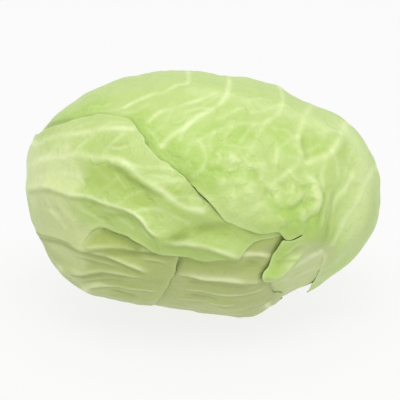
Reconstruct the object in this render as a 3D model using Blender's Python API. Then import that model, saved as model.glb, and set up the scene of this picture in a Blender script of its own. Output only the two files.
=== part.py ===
"""White cabbage: a firm oval head that lies on its side, with its cut stump at the back.

The head is built from the inside out. A packed heart on the stalk carries seven wrapper
leaves, each a thin waved blade with its own outline and midrib, laid over the ones below.
Shapes are described as seen from the front and a little above, in millimetres: x to the
right, u up in the view, and a side, FRONT or BACK. The model itself is in metres, +Z up,
with its origin under the middle of the head, on the surface that it rests on.
"""

import math

import bpy
import numpy as np
from mathutils import Vector
from mathutils.bvhtree import BVHTree
from mathutils.geometry import delaunay_2d_cdt

MM = 0.001

# Driving dimensions, in millimetres unless named otherwise
VIEW_TILT = math.radians(20)        # how far above the horizon the head is described from
HEAD_CENTRE = (1.5, -4.6, 80.2)      # middle of the head, above the resting surface
HALF_DEPTH = 86.0                   # half the head's size along the line of sight
FULLNESS = 2.12                     # 2 is an ellipsoid, more is squarer
MEAN_RADIUS = 100.0                 # turns angles on the head into millimetres
VIEW_DISTANCE = 1100.0              # how far away the front is described from
WRAP = 6.5                          # how far the outer leaves stand proud of the heart
RIM_SHARE = 0.99                    # points further out count as on the head's outline
RIM = (114.0, 109.0, 92.5, 84.0, 78.5, 80.5, 87.5, 99.0, 112.5,
       111.0, 111.0, 99.0, 79.5, 74.5, 79.5, 84.5, 92.0, 109.0)
REST_DROP = 74.6                    # where the underside is pressed flat, below the middle
REST_BLEND = 3.0                    # softness of the edge of the pressed flat
REST_SNAP = 1.1                     # skin that is pressed flat against the resting surface
LEAST_DOWN = 0.05                   # directions flatter than this never reach that surface
BLADE = 1.2                         # leaf thickness
GAP = 1.0                           # air between two leaves
CLEARANCE = 0.6                     # least air between the flat faces of two layers
SETTLE_ROUNDS = 12                  # how often a leaf is raised off what it still touches
SETTLE_STEP = 1.05                  # share of the missing air that each round adds
SETTLE_SPOTS = 6                    # spots along a triangle's edge that settling looks at
RAMP = 26.0                         # how far a leaf drapes past the margin of one below
CELL = 10.0                         # spacing of the points inside a leaf
EDGE_STEP = 8.5                     # spacing of the points along a leaf's margin
RIB_HEIGHT = 4.5                    # how far a midrib stands up at the leaf's base
RIB_WIDTH = 9.0                     # half the width of a midrib at the leaf's base
RIB_SHELF = (11.0, 24.0)            # where an upper leaf starts and ends its drop off a rib
VEIN_HEIGHT = 1.3                   # how far a side vein stands up where it starts
VEIN_WIDTH = 4.2                    # half the width of a side vein
BARE_RAMP = 9.0                     # how near an upper leaf's margin the side veins fade out
ROW_APART = 4.4                     # least distance between two points along the ribs
FILL_APART = 6.3                    # least distance from an inner point to the others
EDGE_INSET = 5.0                    # least distance from an inner point to the margin
WAVE = 1.6                          # how far the margins wave in and out
WAVE_STEP = 31.0                    # length of one wave along a margin
STUMP = (-39.0, 20.0)               # where the stalk comes out of the back, in the view
STUMP_RADIUS = 14.0
STUMP_PROUD = 21.0                  # how far the cut stalk stands out of the heart
STUMP_CHAMFER = 1.5                 # round the edge of the cut
COLLAR = 4.0                        # the stalk has its full radius this far above the heart
THROAT = 8.0                        # and narrows from this far below its surface
THROAT_RADIUS = 12.0
CORE_DEPTH = 62.0                   # how deep the stalk runs into the heart
CORE_TIP_RADIUS = 7.0
CORE_GAP = 0.4
STUMP_SIDES = 24
HEART_DETAIL = 4                    # subdivisions of the icosphere that the heart starts from
SWAP_LINE = (-13.0, -1.0)           # across the view, where the top leaf rises over the left one
SWAP_ROOM = 1.4                     # extra air where the left leaf lies over the top one

FRONT, BACK = 1.0, -1.0

LEAF_GREEN = (0.58, 0.72, 0.27, 1.0)
SHADED_GREEN = (0.50, 0.58, 0.26, 1.0)
HEART_CREAM = (0.78, 0.80, 0.50, 1.0)
STALK_WHITE = (0.82, 0.80, 0.62, 1.0)
SUNNY_LEAVES = ("leaf_upper_left", "leaf_left", "leaf_top")

# Broad folds of the head, that every layer follows: height, half width, then the run of each
FOLDS = (
    (2.8, 8.0, FRONT, ((-105, 5), (-88, 0), (-67, -4), (-50, -10), (-38, -19), (-28, -27))),
    (2.4, 8.0, FRONT, ((-84, 26), (-60, 23), (-46, 16), (-33, 6), (-18, -5), (0, -12))),
    (2.6, 7.0, FRONT, ((-24, -31), (-4, -33), (12, -38), (24, -41))),
    (2.6, 7.0, FRONT, ((-112, -27), (-96, -32), (-80, -38), (-60, -43), (-42, -49))),
    (2.2, 6.0, FRONT, ((-84, -36), (-64, -35), (-42, -38))),
    (2.4, 7.0, FRONT, ((-92, -54), (-70, -52), (-40, -55))),
    (2.6, 7.0, FRONT, ((-14, -54), (7, -58), (34, -58))),
    (2.6, 16.0, FRONT, ((18, 12), (40, 2), (62, -6))),
    (2.0, 9.0, FRONT, ((92, 38), (86, 20), (80, 0), (76, -24))),
    (1.4, 8.0, FRONT, ((118, 22), (121, 10))),
    (-2.6, 8.0, FRONT, ((99, -45), (92, -51))),
    (2.2, 9.0, BACK, ((60, 60), (20, 45), (-10, 32))),
    (2.0, 9.0, BACK, ((-95, 62), (-70, 48), (-52, 36))),
    (2.2, 9.0, BACK, ((95, 15), (45, 12), (0, 18))),
    (2.0, 9.0, BACK, ((-70, -50), (-58, -22), (-48, 0))),
    (2.2, 9.0, BACK, ((45, -45), (12, -18), (-18, 6))),
)


def smooth(value):
    """Eases a number from 0 to 1, and holds it there outside that range."""
    value = np.clip(value, 0.0, 1.0)
    return value * value * (3.0 - 2.0 * value)


def unit(vectors):
    return vectors / np.linalg.norm(vectors, axis=-1, keepdims=True)


def rim_radius(angle):
    """Radius of the head's outline in the view: a smooth closed curve through RIM."""
    count = len(RIM)
    wave = np.fft.rfft(RIM) / count
    radius = np.full(np.shape(angle), wave[0].real)
    for turn in range(1, len(wave)):
        weight = 1.0 if 2 * turn == count else 2.0
        radius = radius + weight * (wave[turn] * np.exp(1j * turn * angle)).real
    return radius


def on_head(points, side):
    """Directions from the head's middle to points of the view, on its front or back.

    Points of the front are as they look from VIEW_DISTANCE, on leaves that stand WRAP proud of
    the heart. Points of the back are on the heart itself.
    """
    points = np.atleast_2d(np.asarray(points, dtype=float))
    proud, shrink = (WRAP, 1.0 / VIEW_DISTANCE) if side == FRONT else (0.0, 0.0)
    rim = rim_radius(np.arctan2(points[:, 1], points[:, 0])) + proud
    depth = np.zeros(len(points))
    for _ in range(8):
        spots = points * (1.0 - depth * shrink)[:, None]
        share = np.minimum(np.hypot(*spots.T) / rim, RIM_SHARE)
        depth = (HALF_DEPTH + proud) * (1.0 - share ** FULLNESS) ** (1.0 / FULLNESS)
    return unit(np.column_stack([spots, side * depth]))


def front(*points):
    return on_head(points, FRONT)


def back(*points):
    return on_head(points, BACK)


def path_distance(directions, path):
    """Distance in millimetres to a path over the head, and how far along it, from 0 to 1."""
    steps = np.linalg.norm(np.diff(path, axis=0), axis=1)
    run = np.concatenate([[0.0], np.cumsum(steps)]) / steps.sum()
    best = np.full(len(directions), np.inf)
    along = np.zeros(len(directions))
    for index, step in enumerate(steps):
        span = path[index + 1] - path[index]
        offset = directions - path[index]
        share = np.clip(offset @ span / step ** 2, 0.0, 1.0)
        distance = np.linalg.norm(offset - share[:, None] * span, axis=1) * MEAN_RADIUS
        nearer = distance < best
        best = np.where(nearer, distance, best)
        along = np.where(nearer, run[index] + share * (run[index + 1] - run[index]), along)
    return best, np.minimum(along, 1.0)


def world(vectors):
    """Turns vectors of the view into the model's own axes."""
    x, u, toward = np.moveaxis(vectors, -1, 0)
    sin, cos = math.sin(VIEW_TILT), math.cos(VIEW_TILT)
    return np.stack([x, u * sin - toward * cos, u * cos + toward * sin], axis=-1)


def head_radius(directions):
    """Radius of the heart: the oval of the head, its folds, and the pressed underside."""
    x, u, toward = directions.T
    across = np.hypot(x, u) / rim_radius(np.arctan2(u, x))
    deep = np.abs(toward) / HALF_DEPTH
    radius = (across ** FULLNESS + deep ** FULLNESS) ** (-1.0 / FULLNESS)
    for height, width, side, run in FOLDS:
        distance, _ = path_distance(directions, on_head(run, side))
        radius = radius + height * np.exp(-(distance / width) ** 2)
    down = -world(directions)[:, 2]
    floor = REST_DROP / np.maximum(down, LEAST_DOWN)
    over = (radius - floor) / REST_BLEND
    return radius - REST_BLEND * np.logaddexp(0.0, over)


def signed_distance(points, outline):
    """Distance from points of a plane to a closed outline, negative inside it."""
    x, y = points.T
    best = np.full(len(points), np.inf)
    inside = np.zeros(len(points), dtype=bool)
    for start, end in zip(outline, np.roll(outline, -1, axis=0)):
        span = end - start
        share = np.clip((points - start) @ span / max(span @ span, 1e-9), 0.0, 1.0)
        away = points - start - share[:, None] * span
        best = np.minimum(best, np.hypot(*away.T))
        if start[1] != end[1]:
            crossing = start[0] + (y - start[1]) / span[1] * span[0]
            inside ^= ((start[1] > y) != (end[1] > y)) & (x < crossing)
    return np.where(inside, -best, best)


def curve_through(points, step):
    """A closed smooth curve through the points, in pieces about a step long."""
    curve = []
    count = len(points)
    for index in range(count):
        before, start, end, after = (points[(index + k) % count] for k in (-1, 0, 1, 2))
        pieces = max(1, round(math.dist(start, end) / step))
        for piece in range(pieces):
            t = piece / pieces
            curve.append(0.5 * (2 * start + (end - before) * t
                                + (2 * before - 5 * start + 4 * end - after) * t ** 2
                                + (3 * start - before - 3 * end + after) * t ** 3))
    return np.array(curve)


class Leaf:
    """One wrapper leaf: a flat pattern round its own middle, which is then laid on the head."""

    def __init__(self, name, middle, margin, midrib, veins=(), lifts=(), waved=True):
        self.name = name
        self.middle = middle[0]
        self.midrib = midrib
        self.veins = veins
        self.lifts = lifts
        tip = midrib[-1]
        self.along = unit(tip - (tip @ self.middle) * self.middle)
        self.across = np.cross(self.middle, self.along)
        self.outline = curve_through(self.flat(margin), EDGE_STEP)
        if waved:
            self.wave_margin()

    def flat(self, directions):
        """Places directions on the leaf's own plane, in millimetres from its middle."""
        cos = np.clip(directions @ self.middle, -1.0, 1.0)
        angle = np.arccos(cos)
        stretch = MEAN_RADIUS * angle / np.maximum(np.sin(angle), 1e-6)
        return np.stack([directions @ self.along, directions @ self.across], axis=1) * stretch[:, None]

    def round(self, points):
        """Takes points of the leaf's plane back to directions."""
        angle = np.hypot(*points.T) / MEAN_RADIUS
        scale = np.sinc(angle / math.pi) / MEAN_RADIUS
        side = points[:, :1] * scale[:, None] * self.along + points[:, 1:] * scale[:, None] * self.across
        return unit(np.cos(angle)[:, None] * self.middle + side)

    def wave_margin(self):
        """Gives the margin its soft waves, in and out of the leaf."""
        ahead, behind = np.roll(self.outline, -1, axis=0), np.roll(self.outline, 1, axis=0)
        along = unit(ahead - behind)
        normal = np.stack([along[:, 1], -along[:, 0]], axis=1)
        steps = np.linalg.norm(ahead - self.outline, axis=1)
        run = np.cumsum(steps)
        waves = max(3, round(run[-1] / WAVE_STEP))
        swing = np.sin(2 * math.pi * waves * run / run[-1]) * WAVE
        self.outline = self.outline + normal * swing[:, None]

    def cover(self, directions, ramp=RAMP):
        """1 over the leaf, easing to 0 past its margin."""
        return smooth(1.0 - signed_distance(self.flat(directions), self.outline) / ramp)

    def rib(self, directions, bare):
        """How far the midrib stands up, and the side veins where the leaf lies bare."""
        distance, run = path_distance(directions, self.midrib)
        width = RIB_WIDTH * (1.0 - 0.5 * run)
        height = RIB_HEIGHT * (1.0 - run) ** 1.3 * np.exp(-(distance / width) ** 2)
        for vein in self.veins:
            distance, run = path_distance(directions, vein)
            ridge = VEIN_HEIGHT * (1.0 - 0.7 * run) * np.exp(-(distance / VEIN_WIDTH) ** 2)
            height = np.maximum(height, ridge * bare)
        return height

    def shelf(self, directions):
        """How far the midrib holds an upper leaf off, with a broad flat top."""
        distance, run = path_distance(directions, self.midrib)
        near, far = RIB_SHELF
        return RIB_HEIGHT * (1.0 - run) ** 1.3 * smooth((far - distance) / (far - near))

    def build_up(self, directions):
        """What the leaf adds to the head for the leaves above it."""
        return self.cover(directions) * (BLADE + GAP + self.shelf(directions))

    def lift(self, directions):
        """Where the margin curls off the leaves below."""
        height = np.zeros(len(directions))
        for amount, width, path in self.lifts:
            distance, _ = path_distance(directions, path)
            height += amount * np.exp(-(distance / width) ** 2)
        return height

    def row(self, path, aside):
        """Flat points along a rib or vein, or beside it."""
        line = self.flat(path)
        line = curve_through(np.vstack([line, line[-2:0:-1]]), CELL)
        line = line[: len(line) // 2 + 1]
        heading = unit(np.gradient(line, axis=0))
        return line + aside * np.stack([heading[:, 1], -heading[:, 0]], axis=1)

    def pattern(self):
        """The leaf's flat points and triangles: margin, rib rows and an even filling."""
        low, high = self.outline.min(axis=0), self.outline.max(axis=0)
        rows = np.arange(low[1], high[1], CELL * math.sqrt(0.75))
        filling = [(x + 0.5 * CELL * (row % 2), y)
                   for row, y in enumerate(rows)
                   for x in np.arange(low[0], high[0], CELL)]
        filling = np.array(filling)
        rows = [self.row(self.midrib, aside) for aside in (0.0, -RIB_WIDTH, RIB_WIDTH)]
        rows += [self.row(vein, aside) for aside in (0.0, -VEIN_WIDTH, VEIN_WIDTH)
                 for vein in self.veins]
        points = list(self.outline)
        for candidates, apart in ((np.vstack(rows), ROW_APART), (filling, FILL_APART)):
            within = signed_distance(candidates, self.outline) < -EDGE_INSET
            for candidate in candidates[within]:
                if np.linalg.norm(np.array(points) - candidate, axis=1).min() > apart:
                    points.append(candidate)
        rim = list(range(len(self.outline)))
        turn = np.cross(self.outline, np.roll(self.outline, -1, axis=0)).sum()
        if turn < 0:
            rim.reverse()
        cut = delaunay_2d_cdt([tuple(p) for p in points], [], [rim], 1, 0.01)
        return np.array([tuple(p) for p in cut[0]]), [tuple(face) for face in cut[2]]


def new_material(name, colour, roughness):
    material = bpy.data.materials.new(name)
    material.use_nodes = True
    shader = material.node_tree.nodes["Principled BSDF"]
    shader.inputs["Base Color"].default_value = colour
    shader.inputs["Roughness"].default_value = roughness
    return material


def add_object(name, points, faces, material):
    """Adds a mesh given in millimetres of the view, round the head's middle."""
    return add_placed(name, world(points) + np.array(HEAD_CENTRE), faces, material)


def add_placed(name, placed, faces, material):
    mesh = bpy.data.meshes.new(name)
    mesh.from_pydata([tuple(p) for p in placed * MM], [], faces)
    mesh.materials.append(material)
    mesh.shade_smooth()
    node = bpy.data.objects.new(name, mesh)
    bpy.context.collection.objects.link(node)
    return node


def rim_loop(faces):
    """The edges that belong to one triangle only, in the triangles' own direction."""
    seen = set()
    for face in faces:
        for start, end in zip(face, face[1:] + face[:1]):
            seen.add((start, end))
    return [(start, end) for start, end in seen if (end, start) not in seen]


def surface_radius(direction, tree):
    """Radius of a layer's outer face in a direction, or 0 where it isn't there."""
    ray = Vector(world(direction))
    start = Vector(HEAD_CENTRE) + 2.0 * MEAN_RADIUS * ray
    depth = tree.ray_cast(start, -ray, 1.8 * MEAN_RADIUS)[3]
    return 0.0 if depth is None else 2.0 * MEAN_RADIUS - depth


def settle(leaf, directions, inner, faces, layers):
    """Raises a leaf's flat faces off the flat faces below, which curves alone can't promise."""
    parts = SETTLE_SPOTS
    weights = np.array([(i, j, parts - i - j)
                        for i in range(parts + 1) for j in range(parts + 1 - i)]) / parts
    corners = np.array(faces)

    def spots(radii):
        return np.einsum("sc,fcx->fsx", weights, (directions * radii[:, None])[corners])

    rays = unit(spots(inner)).reshape(-1, 3)
    support = np.zeros(len(rays))
    for under, tree in layers:
        counts = np.ones(len(rays)) if under is None else stacking(leaf, under, rays)
        for number in np.nonzero(counts > 0.5)[0]:
            support[number] = max(support[number], surface_radius(rays[number], tree))
    support = support.reshape(len(faces), len(weights))
    for _ in range(SETTLE_ROUNDS):
        short = support + CLEARANCE - np.linalg.norm(spots(inner), axis=2)
        need = np.repeat(np.maximum(short.max(axis=1), 0.0), 3)
        raised = np.zeros(len(inner))
        np.maximum.at(raised, corners.ravel(), need)
        inner = inner + SETTLE_STEP * raised
    return inner


def lay_leaf(leaf, below, above, layers):
    """Lays a leaf on the head over those below it, as a closed blade."""
    points, faces = leaf.pattern()
    directions = leaf.round(points)
    inner = head_radius(directions) + GAP + leaf.lift(directions)
    for under in below:
        inner = inner + under.build_up(directions) * stacking(leaf, under, directions)
    inner = settle(leaf, directions, inner, faces, layers)
    bare = np.ones(len(directions))
    for over in above:
        laid_over = np.minimum(stacking(over, leaf, directions), 1.0)
        bare = bare * (1.0 - laid_over * over.cover(directions, BARE_RAMP))
    outer = inner + BLADE + leaf.rib(directions, bare)
    count = len(points)
    placed = world(np.vstack([directions * outer[:, None], directions * inner[:, None]]))
    placed = placed + np.array(HEAD_CENTRE)
    skin = placed[:count, 2]
    skin[skin < REST_SNAP] = 0.0
    shell = list(faces)
    shell += [tuple(index + count for index in reversed(face)) for face in faces]
    for start, end in rim_loop(faces):
        shell += [(end, start, start + count), (end, start + count, end + count)]
    green = LEAF_GREEN if leaf.name in SUNNY_LEAVES else SHADED_GREEN
    add_placed(leaf.name, placed, shell, new_material(leaf.name + "_green", green, 0.5))
    return leaf, BVHTree.FromPolygons([tuple(place) for place in placed], shell)


def stump_direction():
    return back(STUMP)[0]


def stalk_solid(name, radii_and_heights, material):
    """A turned solid on the stalk's line: pairs of radius and distance from the middle."""
    axis = stump_direction()
    side = unit(np.cross(axis, (0.0, 1.0, 0.0)))
    other = np.cross(axis, side)
    points, faces = [], []
    for radius, height in radii_and_heights:
        for step in range(STUMP_SIDES):
            turn = 2 * math.pi * step / STUMP_SIDES
            points.append(axis * height + radius * (math.cos(turn) * side + math.sin(turn) * other))
    for ring in range(len(radii_and_heights) - 1):
        for step in range(STUMP_SIDES):
            nxt = (step + 1) % STUMP_SIDES
            low, high = ring * STUMP_SIDES, (ring + 1) * STUMP_SIDES
            faces.append((low + step, low + nxt, high + nxt, high + step))
    faces.append(tuple(reversed(range(STUMP_SIDES))))
    top = (len(radii_and_heights) - 1) * STUMP_SIDES
    faces.append(tuple(top + step for step in range(STUMP_SIDES)))
    return add_object(name, np.array(points), faces, material)


def make_stalk_and_heart():
    """The stalk runs into a pit in the packed heart, and its cut end stands out behind."""
    reach = head_radius(stump_direction()[None])[0]
    stalk_solid("stalk", (
        (CORE_TIP_RADIUS, reach - CORE_DEPTH),
        (THROAT_RADIUS, reach - THROAT),
        (STUMP_RADIUS, reach + COLLAR),
        (STUMP_RADIUS, reach + STUMP_PROUD - STUMP_CHAMFER),
        (STUMP_RADIUS - STUMP_CHAMFER, reach + STUMP_PROUD),
    ), new_material("stalk_white", STALK_WHITE, 0.55))
    pit = stalk_solid("pit", (
        (CORE_TIP_RADIUS + CORE_GAP, reach - CORE_DEPTH - CORE_GAP),
        (THROAT_RADIUS + CORE_GAP, reach - THROAT),
        (STUMP_RADIUS + CORE_GAP, reach + COLLAR),
        (STUMP_RADIUS + CORE_GAP, reach + STUMP_PROUD),
    ), new_material("pit", STALK_WHITE, 0.5))
    pit.hide_render = True
    pit.display_type = "WIRE"

    bpy.ops.mesh.primitive_ico_sphere_add(subdivisions=HEART_DETAIL, radius=1.0)
    heart = bpy.context.object
    heart.name = heart.data.name = "heart"
    directions = unit(np.array([tuple(v.co) for v in heart.data.vertices]))
    placed = world(directions * head_radius(directions)[:, None]) + np.array(HEAD_CENTRE)
    for vertex, place in zip(heart.data.vertices, placed * MM):
        vertex.co = place
    faces = [tuple(face.vertices) for face in heart.data.polygons]
    surface = BVHTree.FromPolygons([tuple(place) for place in placed], faces)
    heart.data.materials.append(new_material("heart_cream", HEART_CREAM, 0.5))
    heart.data.shade_smooth()
    cut = heart.modifiers.new("pit", "BOOLEAN")
    cut.operation = "DIFFERENCE"
    cut.object = pit
    return surface


def wrapper_leaves():
    """The seven leaves, innermost first. Each margin starts at the stump and runs round."""
    return [
        Leaf("leaf_upper_left", front((-60, 62)),
             np.vstack([back((-57, 28), (-42, 38), (-22, 37), (-10, 55), (0, 72)),
                        front((6, 78), (14, 60), (22, 40), (25, 20), (12, 0), (-12, -8),
                              (-42, -4), (-76, 0), (-106, 4)),
                        back((-112, 6), (-92, 8), (-70, 14))]),
             np.vstack([back((-48, 34), (-60, 55), (-66, 70)),
                        front((-64, 74), (-52, 55), (-38, 35), (-22, 15))])),
        Leaf("leaf_under", back((-20, -70)),
             np.vstack([back((-57, 8), (-42, 0), (-24, 4), (-6, -15), (10, -45), (24, -68)),
                        front((32, -74), (28, -52), (5, -36), (-25, -30), (-50, -44), (-66, -62)),
                        back((-74, -54), (-72, -26), (-64, -4))]),
             np.vstack([back((-42, 2), (-35, -25), (-28, -55)),
                        front((-25, -74), (-22, -58), (-15, -42))])),
        Leaf("leaf_right", back((105, 5)),
             np.vstack([back((-25, 38), (-19, 20), (-26, 3), (-12, -18), (5, -42), (18, -64)),
                        front((24, -78), (29, -60), (28, -28), (34, 4), (48, 30), (70, 46),
                              (88, 52)),
                        back((88, 52), (66, 60), (32, 56), (2, 46))]),
             np.vstack([back((-20, 18), (10, 8), (50, 0), (90, -4)),
                        front((108, -8), (88, -10), (62, -8), (40, -8))]),
             veins=(np.vstack([back((-18, 12), (20, -14), (60, -34), (84, -44)),
                               front((92, -38), (84, -41), (78, -44), (72, -48), (60, -54))]),
                    back((-20, 6), (10, -26), (34, -54), (46, -68)),
                    back((-16, 24), (20, 34), (62, 36), (96, 34)))),
        Leaf("leaf_lower_right", front((20, -74)),
             np.vstack([back((-50, 2), (-38, -1), (-26, 4)),
                        back((-14, -4), (6, -22), (28, -44), (46, -62)),
                        front((55, -72), (51, -69), (45, -60), (51, -52), (60, -42), (62, -24),
                              (46, -12), (20, -14), (-5, -20), (-25, -29), (-36, -45),
                              (-42, -64)),
                        back((-50, -60), (-50, -40), (-47, -16))]),
             np.vstack([back((-36, 2), (-18, -22), (0, -48), (8, -66)),
                        front((12, -84))]),
             veins=(np.vstack([back((-24, -14), (12, -38), (36, -62)), front((44, -76))]),
                    np.vstack([back((-34, -8), (-34, -40), (-30, -64)), front((-26, -78))]),
                    front((-20, -54), (-8, -55), (4, -57.5), (20, -58), (42, -58)))),
        Leaf("leaf_lower_left", front((-78, -52)),
             np.vstack([back((-58, 32), (-56, 14), (-47, 1), (-46, -18), (-44, -44), (-38, -66)),
                        front((-35, -76), (-26, -66), (-22.5, -59), (-18.5, -49), (-16, -40),
                              (-14, -32), (-32, -22), (-56, -8), (-80, 6), (-100, 14)),
                        back((-113, 12), (-92, 22), (-72, 30))]),
             np.vstack([back((-56, 12), (-76, -4), (-96, -18)),
                        front((-112, -27), (-96, -32), (-80, -38), (-60, -43), (-47, -47),
                              (-35, -53))]),
             veins=(np.vstack([back((-58, 4), (-74, -26), (-88, -46)),
                               front((-98, -52), (-84, -55), (-70, -52.5), (-50, -54))]),
                    np.vstack([back((-54, -4), (-62, -34), (-72, -58)),
                               front((-78, -64), (-66, -63.5), (-48, -64), (-30, -66.5))])),
             waved=False),
        Leaf("leaf_left", front((-98, 8)),
             np.vstack([back((-54, 36), (-58, 20), (-54, 6), (-66, -10), (-86, -24), (-104, -30)),
                        front((-116, -25), (-108, -28), (-96, -31.5), (-87, -36), (-81, -34),
                              (-75, -23), (-65, -26), (-52, -30), (-38, -36), (-28, -41),
                              (-10, -43), (0, -46.5), (10, -45.5), (22, -44), (27, -39),
                              (36, -33), (54, -28), (50, -20), (32, -18), (18, -13),
                              (4.6, -8), (-3.8, -0.6), (-9, 4.4), (-14, 11), (-22, 18),
                              (-29.5, 23),
                              (-37, 31), (-41, 38), (-50, 50), (-60, 52.8), (-72, 54), (-83, 52),
                              (-93, 47.5), (-107, 43), (-112, 40)),
                        back((-106, 41), (-90, 49), (-66, 50))]),
             np.vstack([back((-57, 20), (-84, 12), (-106, 4)),
                        front((-118, 3.5), (-107, 5), (-98, 3.3), (-88, -0.5), (-78, -1.5),
                              (-67, -5), (-56, -8.5), (-45, -13), (-38, -19), (-33, -25),
                              (-26, -28))]),
             veins=(np.vstack([back((-64, 22), (-90, 22), (-110, 18)),
                               front((-117, 19), (-103, 24.5), (-84, 25.8), (-62, 23), (-44, 14),
                                     (-27, 2), (-15, -8), (0, -12))]),
                    np.vstack([back((-60, 28), (-82, 38), (-104, 36)),
                               front((-112, 33), (-100, 38.5), (-89, 40), (-62, 44))])),
             waved=False),
        Leaf("leaf_top", front((55, 62)),
             np.vstack([front((-9, 7), (-3, 1), (3, -4.5), (8, -10), (14, -18), (25, -23),
                              (36, -26.5), (51, -26), (55, -31), (52, -35), (48, -42), (44, -50),
                              (39, -56), (43, -59), (54, -57.5), (64, -48), (73, -43), (84, -41),
                              (84, -50), (80, -59), (72, -68)),
                        back((82, -56), (88, -46), (62, -33), (22, -12), (-8, 4), (-22, 14),
                             (-20, 28), (-30, 38), (-46, 40), (-66, 42), (-88, 38), (-108, 30)),
                        front((-114, 29), (-84, 30), (-63, 26), (-43, 15), (-22, 5))]),
             np.vstack([back((-26, 32), (0, 50), (30, 66)),
                        front((56, 68), (53, 56), (43, 50), (28, 49.5), (14, 45.5), (-3, 37.5),
                              (-10, 31), (-17, 21))]),
             veins=(np.vstack([back((-30, 44), (-26, 62), (-12, 78)),
                               front((-10, 79), (-18, 76), (-33, 70), (-42, 66))]),
                    np.vstack([back((-22, 44), (0, 62), (14, 76)),
                               front((18, 76), (14, 65), (1, 56), (-10, 49), (-23, 40), (-29, 33))]),
                    np.vstack([back((-8, 42), (40, 58), (70, 58)),
                               front((76, 62), (69, 48), (65, 38), (67.5, 27), (65, 19), (54, 11))]),
                    np.vstack([back((-16, 32), (40, 44), (92, 44)),
                               front((100, 50), (94, 38), (87, 28), (72, 21.5))]),
                    np.vstack([back((-14, 24), (50, 20), (104, 16)),
                               front((118, 18), (113, 9), (107, -3), (99, -16), (90, -35))])),
             lifts=((2.5, 8.0, front((42, -56), (56, -51), (66, -45))),
                    (6.0, 8.0, front((71, -70), (74, -66)))),
             waved=False),
    ]


def stacking(leaf, under, directions):
    """The share of a lower leaf that an upper one rides over.

    The top leaf lies under the left leaf at the upper left, and over it at the lower right.
    """
    if {leaf.name, under.name} != {"leaf_top", "leaf_left"}:
        return np.ones(len(directions))
    places = directions * head_radius(directions)[:, None]
    start, end = SWAP_LINE
    top_share = smooth(((places[:, 0] - places[:, 1]) / math.sqrt(2) - start) / (end - start))
    return top_share if leaf.name == "leaf_top" else SWAP_ROOM * (1.0 - top_share)


for old in list(bpy.data.objects):
    bpy.data.objects.remove(old, do_unlink=True)

leaves = wrapper_leaves()
layers = [(None, make_stalk_and_heart())]
for order, wrapper in enumerate(leaves):
    lower, upper = leaves[:order], leaves[order + 1:]
    if wrapper.name == "leaf_left":
        lower = lower + [leaves[-1]]
    if wrapper.name == "leaf_top":
        upper = [leaves[-2]]
    layers.append(lay_leaf(wrapper, lower, upper, layers))
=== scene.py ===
"""White cabbage: the looks of a firm oval head that lies on its side.

The head is put together from the inside out: heart, stalk, seven wrapper leaves, and then the
floor, light and camera round it. Shapes are described in millimetres, as seen from the front
and a little above: x to the right, u up in the view, and a side, FRONT or BACK.
"""

import math

import bpy
import numpy as np
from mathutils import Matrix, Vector, noise
from mathutils.geometry import delaunay_2d_cdt

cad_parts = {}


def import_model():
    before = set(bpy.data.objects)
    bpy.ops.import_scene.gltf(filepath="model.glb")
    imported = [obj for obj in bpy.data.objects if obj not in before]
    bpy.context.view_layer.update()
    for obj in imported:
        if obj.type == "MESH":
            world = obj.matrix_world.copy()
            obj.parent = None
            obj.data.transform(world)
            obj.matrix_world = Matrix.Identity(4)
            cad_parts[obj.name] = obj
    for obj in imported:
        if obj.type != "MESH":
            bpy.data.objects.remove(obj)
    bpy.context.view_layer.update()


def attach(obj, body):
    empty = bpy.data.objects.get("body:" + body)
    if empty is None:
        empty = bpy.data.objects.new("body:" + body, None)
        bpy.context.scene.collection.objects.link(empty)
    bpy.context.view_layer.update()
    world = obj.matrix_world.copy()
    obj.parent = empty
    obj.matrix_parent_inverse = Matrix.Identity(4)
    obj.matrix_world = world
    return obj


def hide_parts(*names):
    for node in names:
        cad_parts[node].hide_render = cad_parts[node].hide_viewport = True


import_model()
bpy.ops.object.select_all(action="DESELECT")

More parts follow.
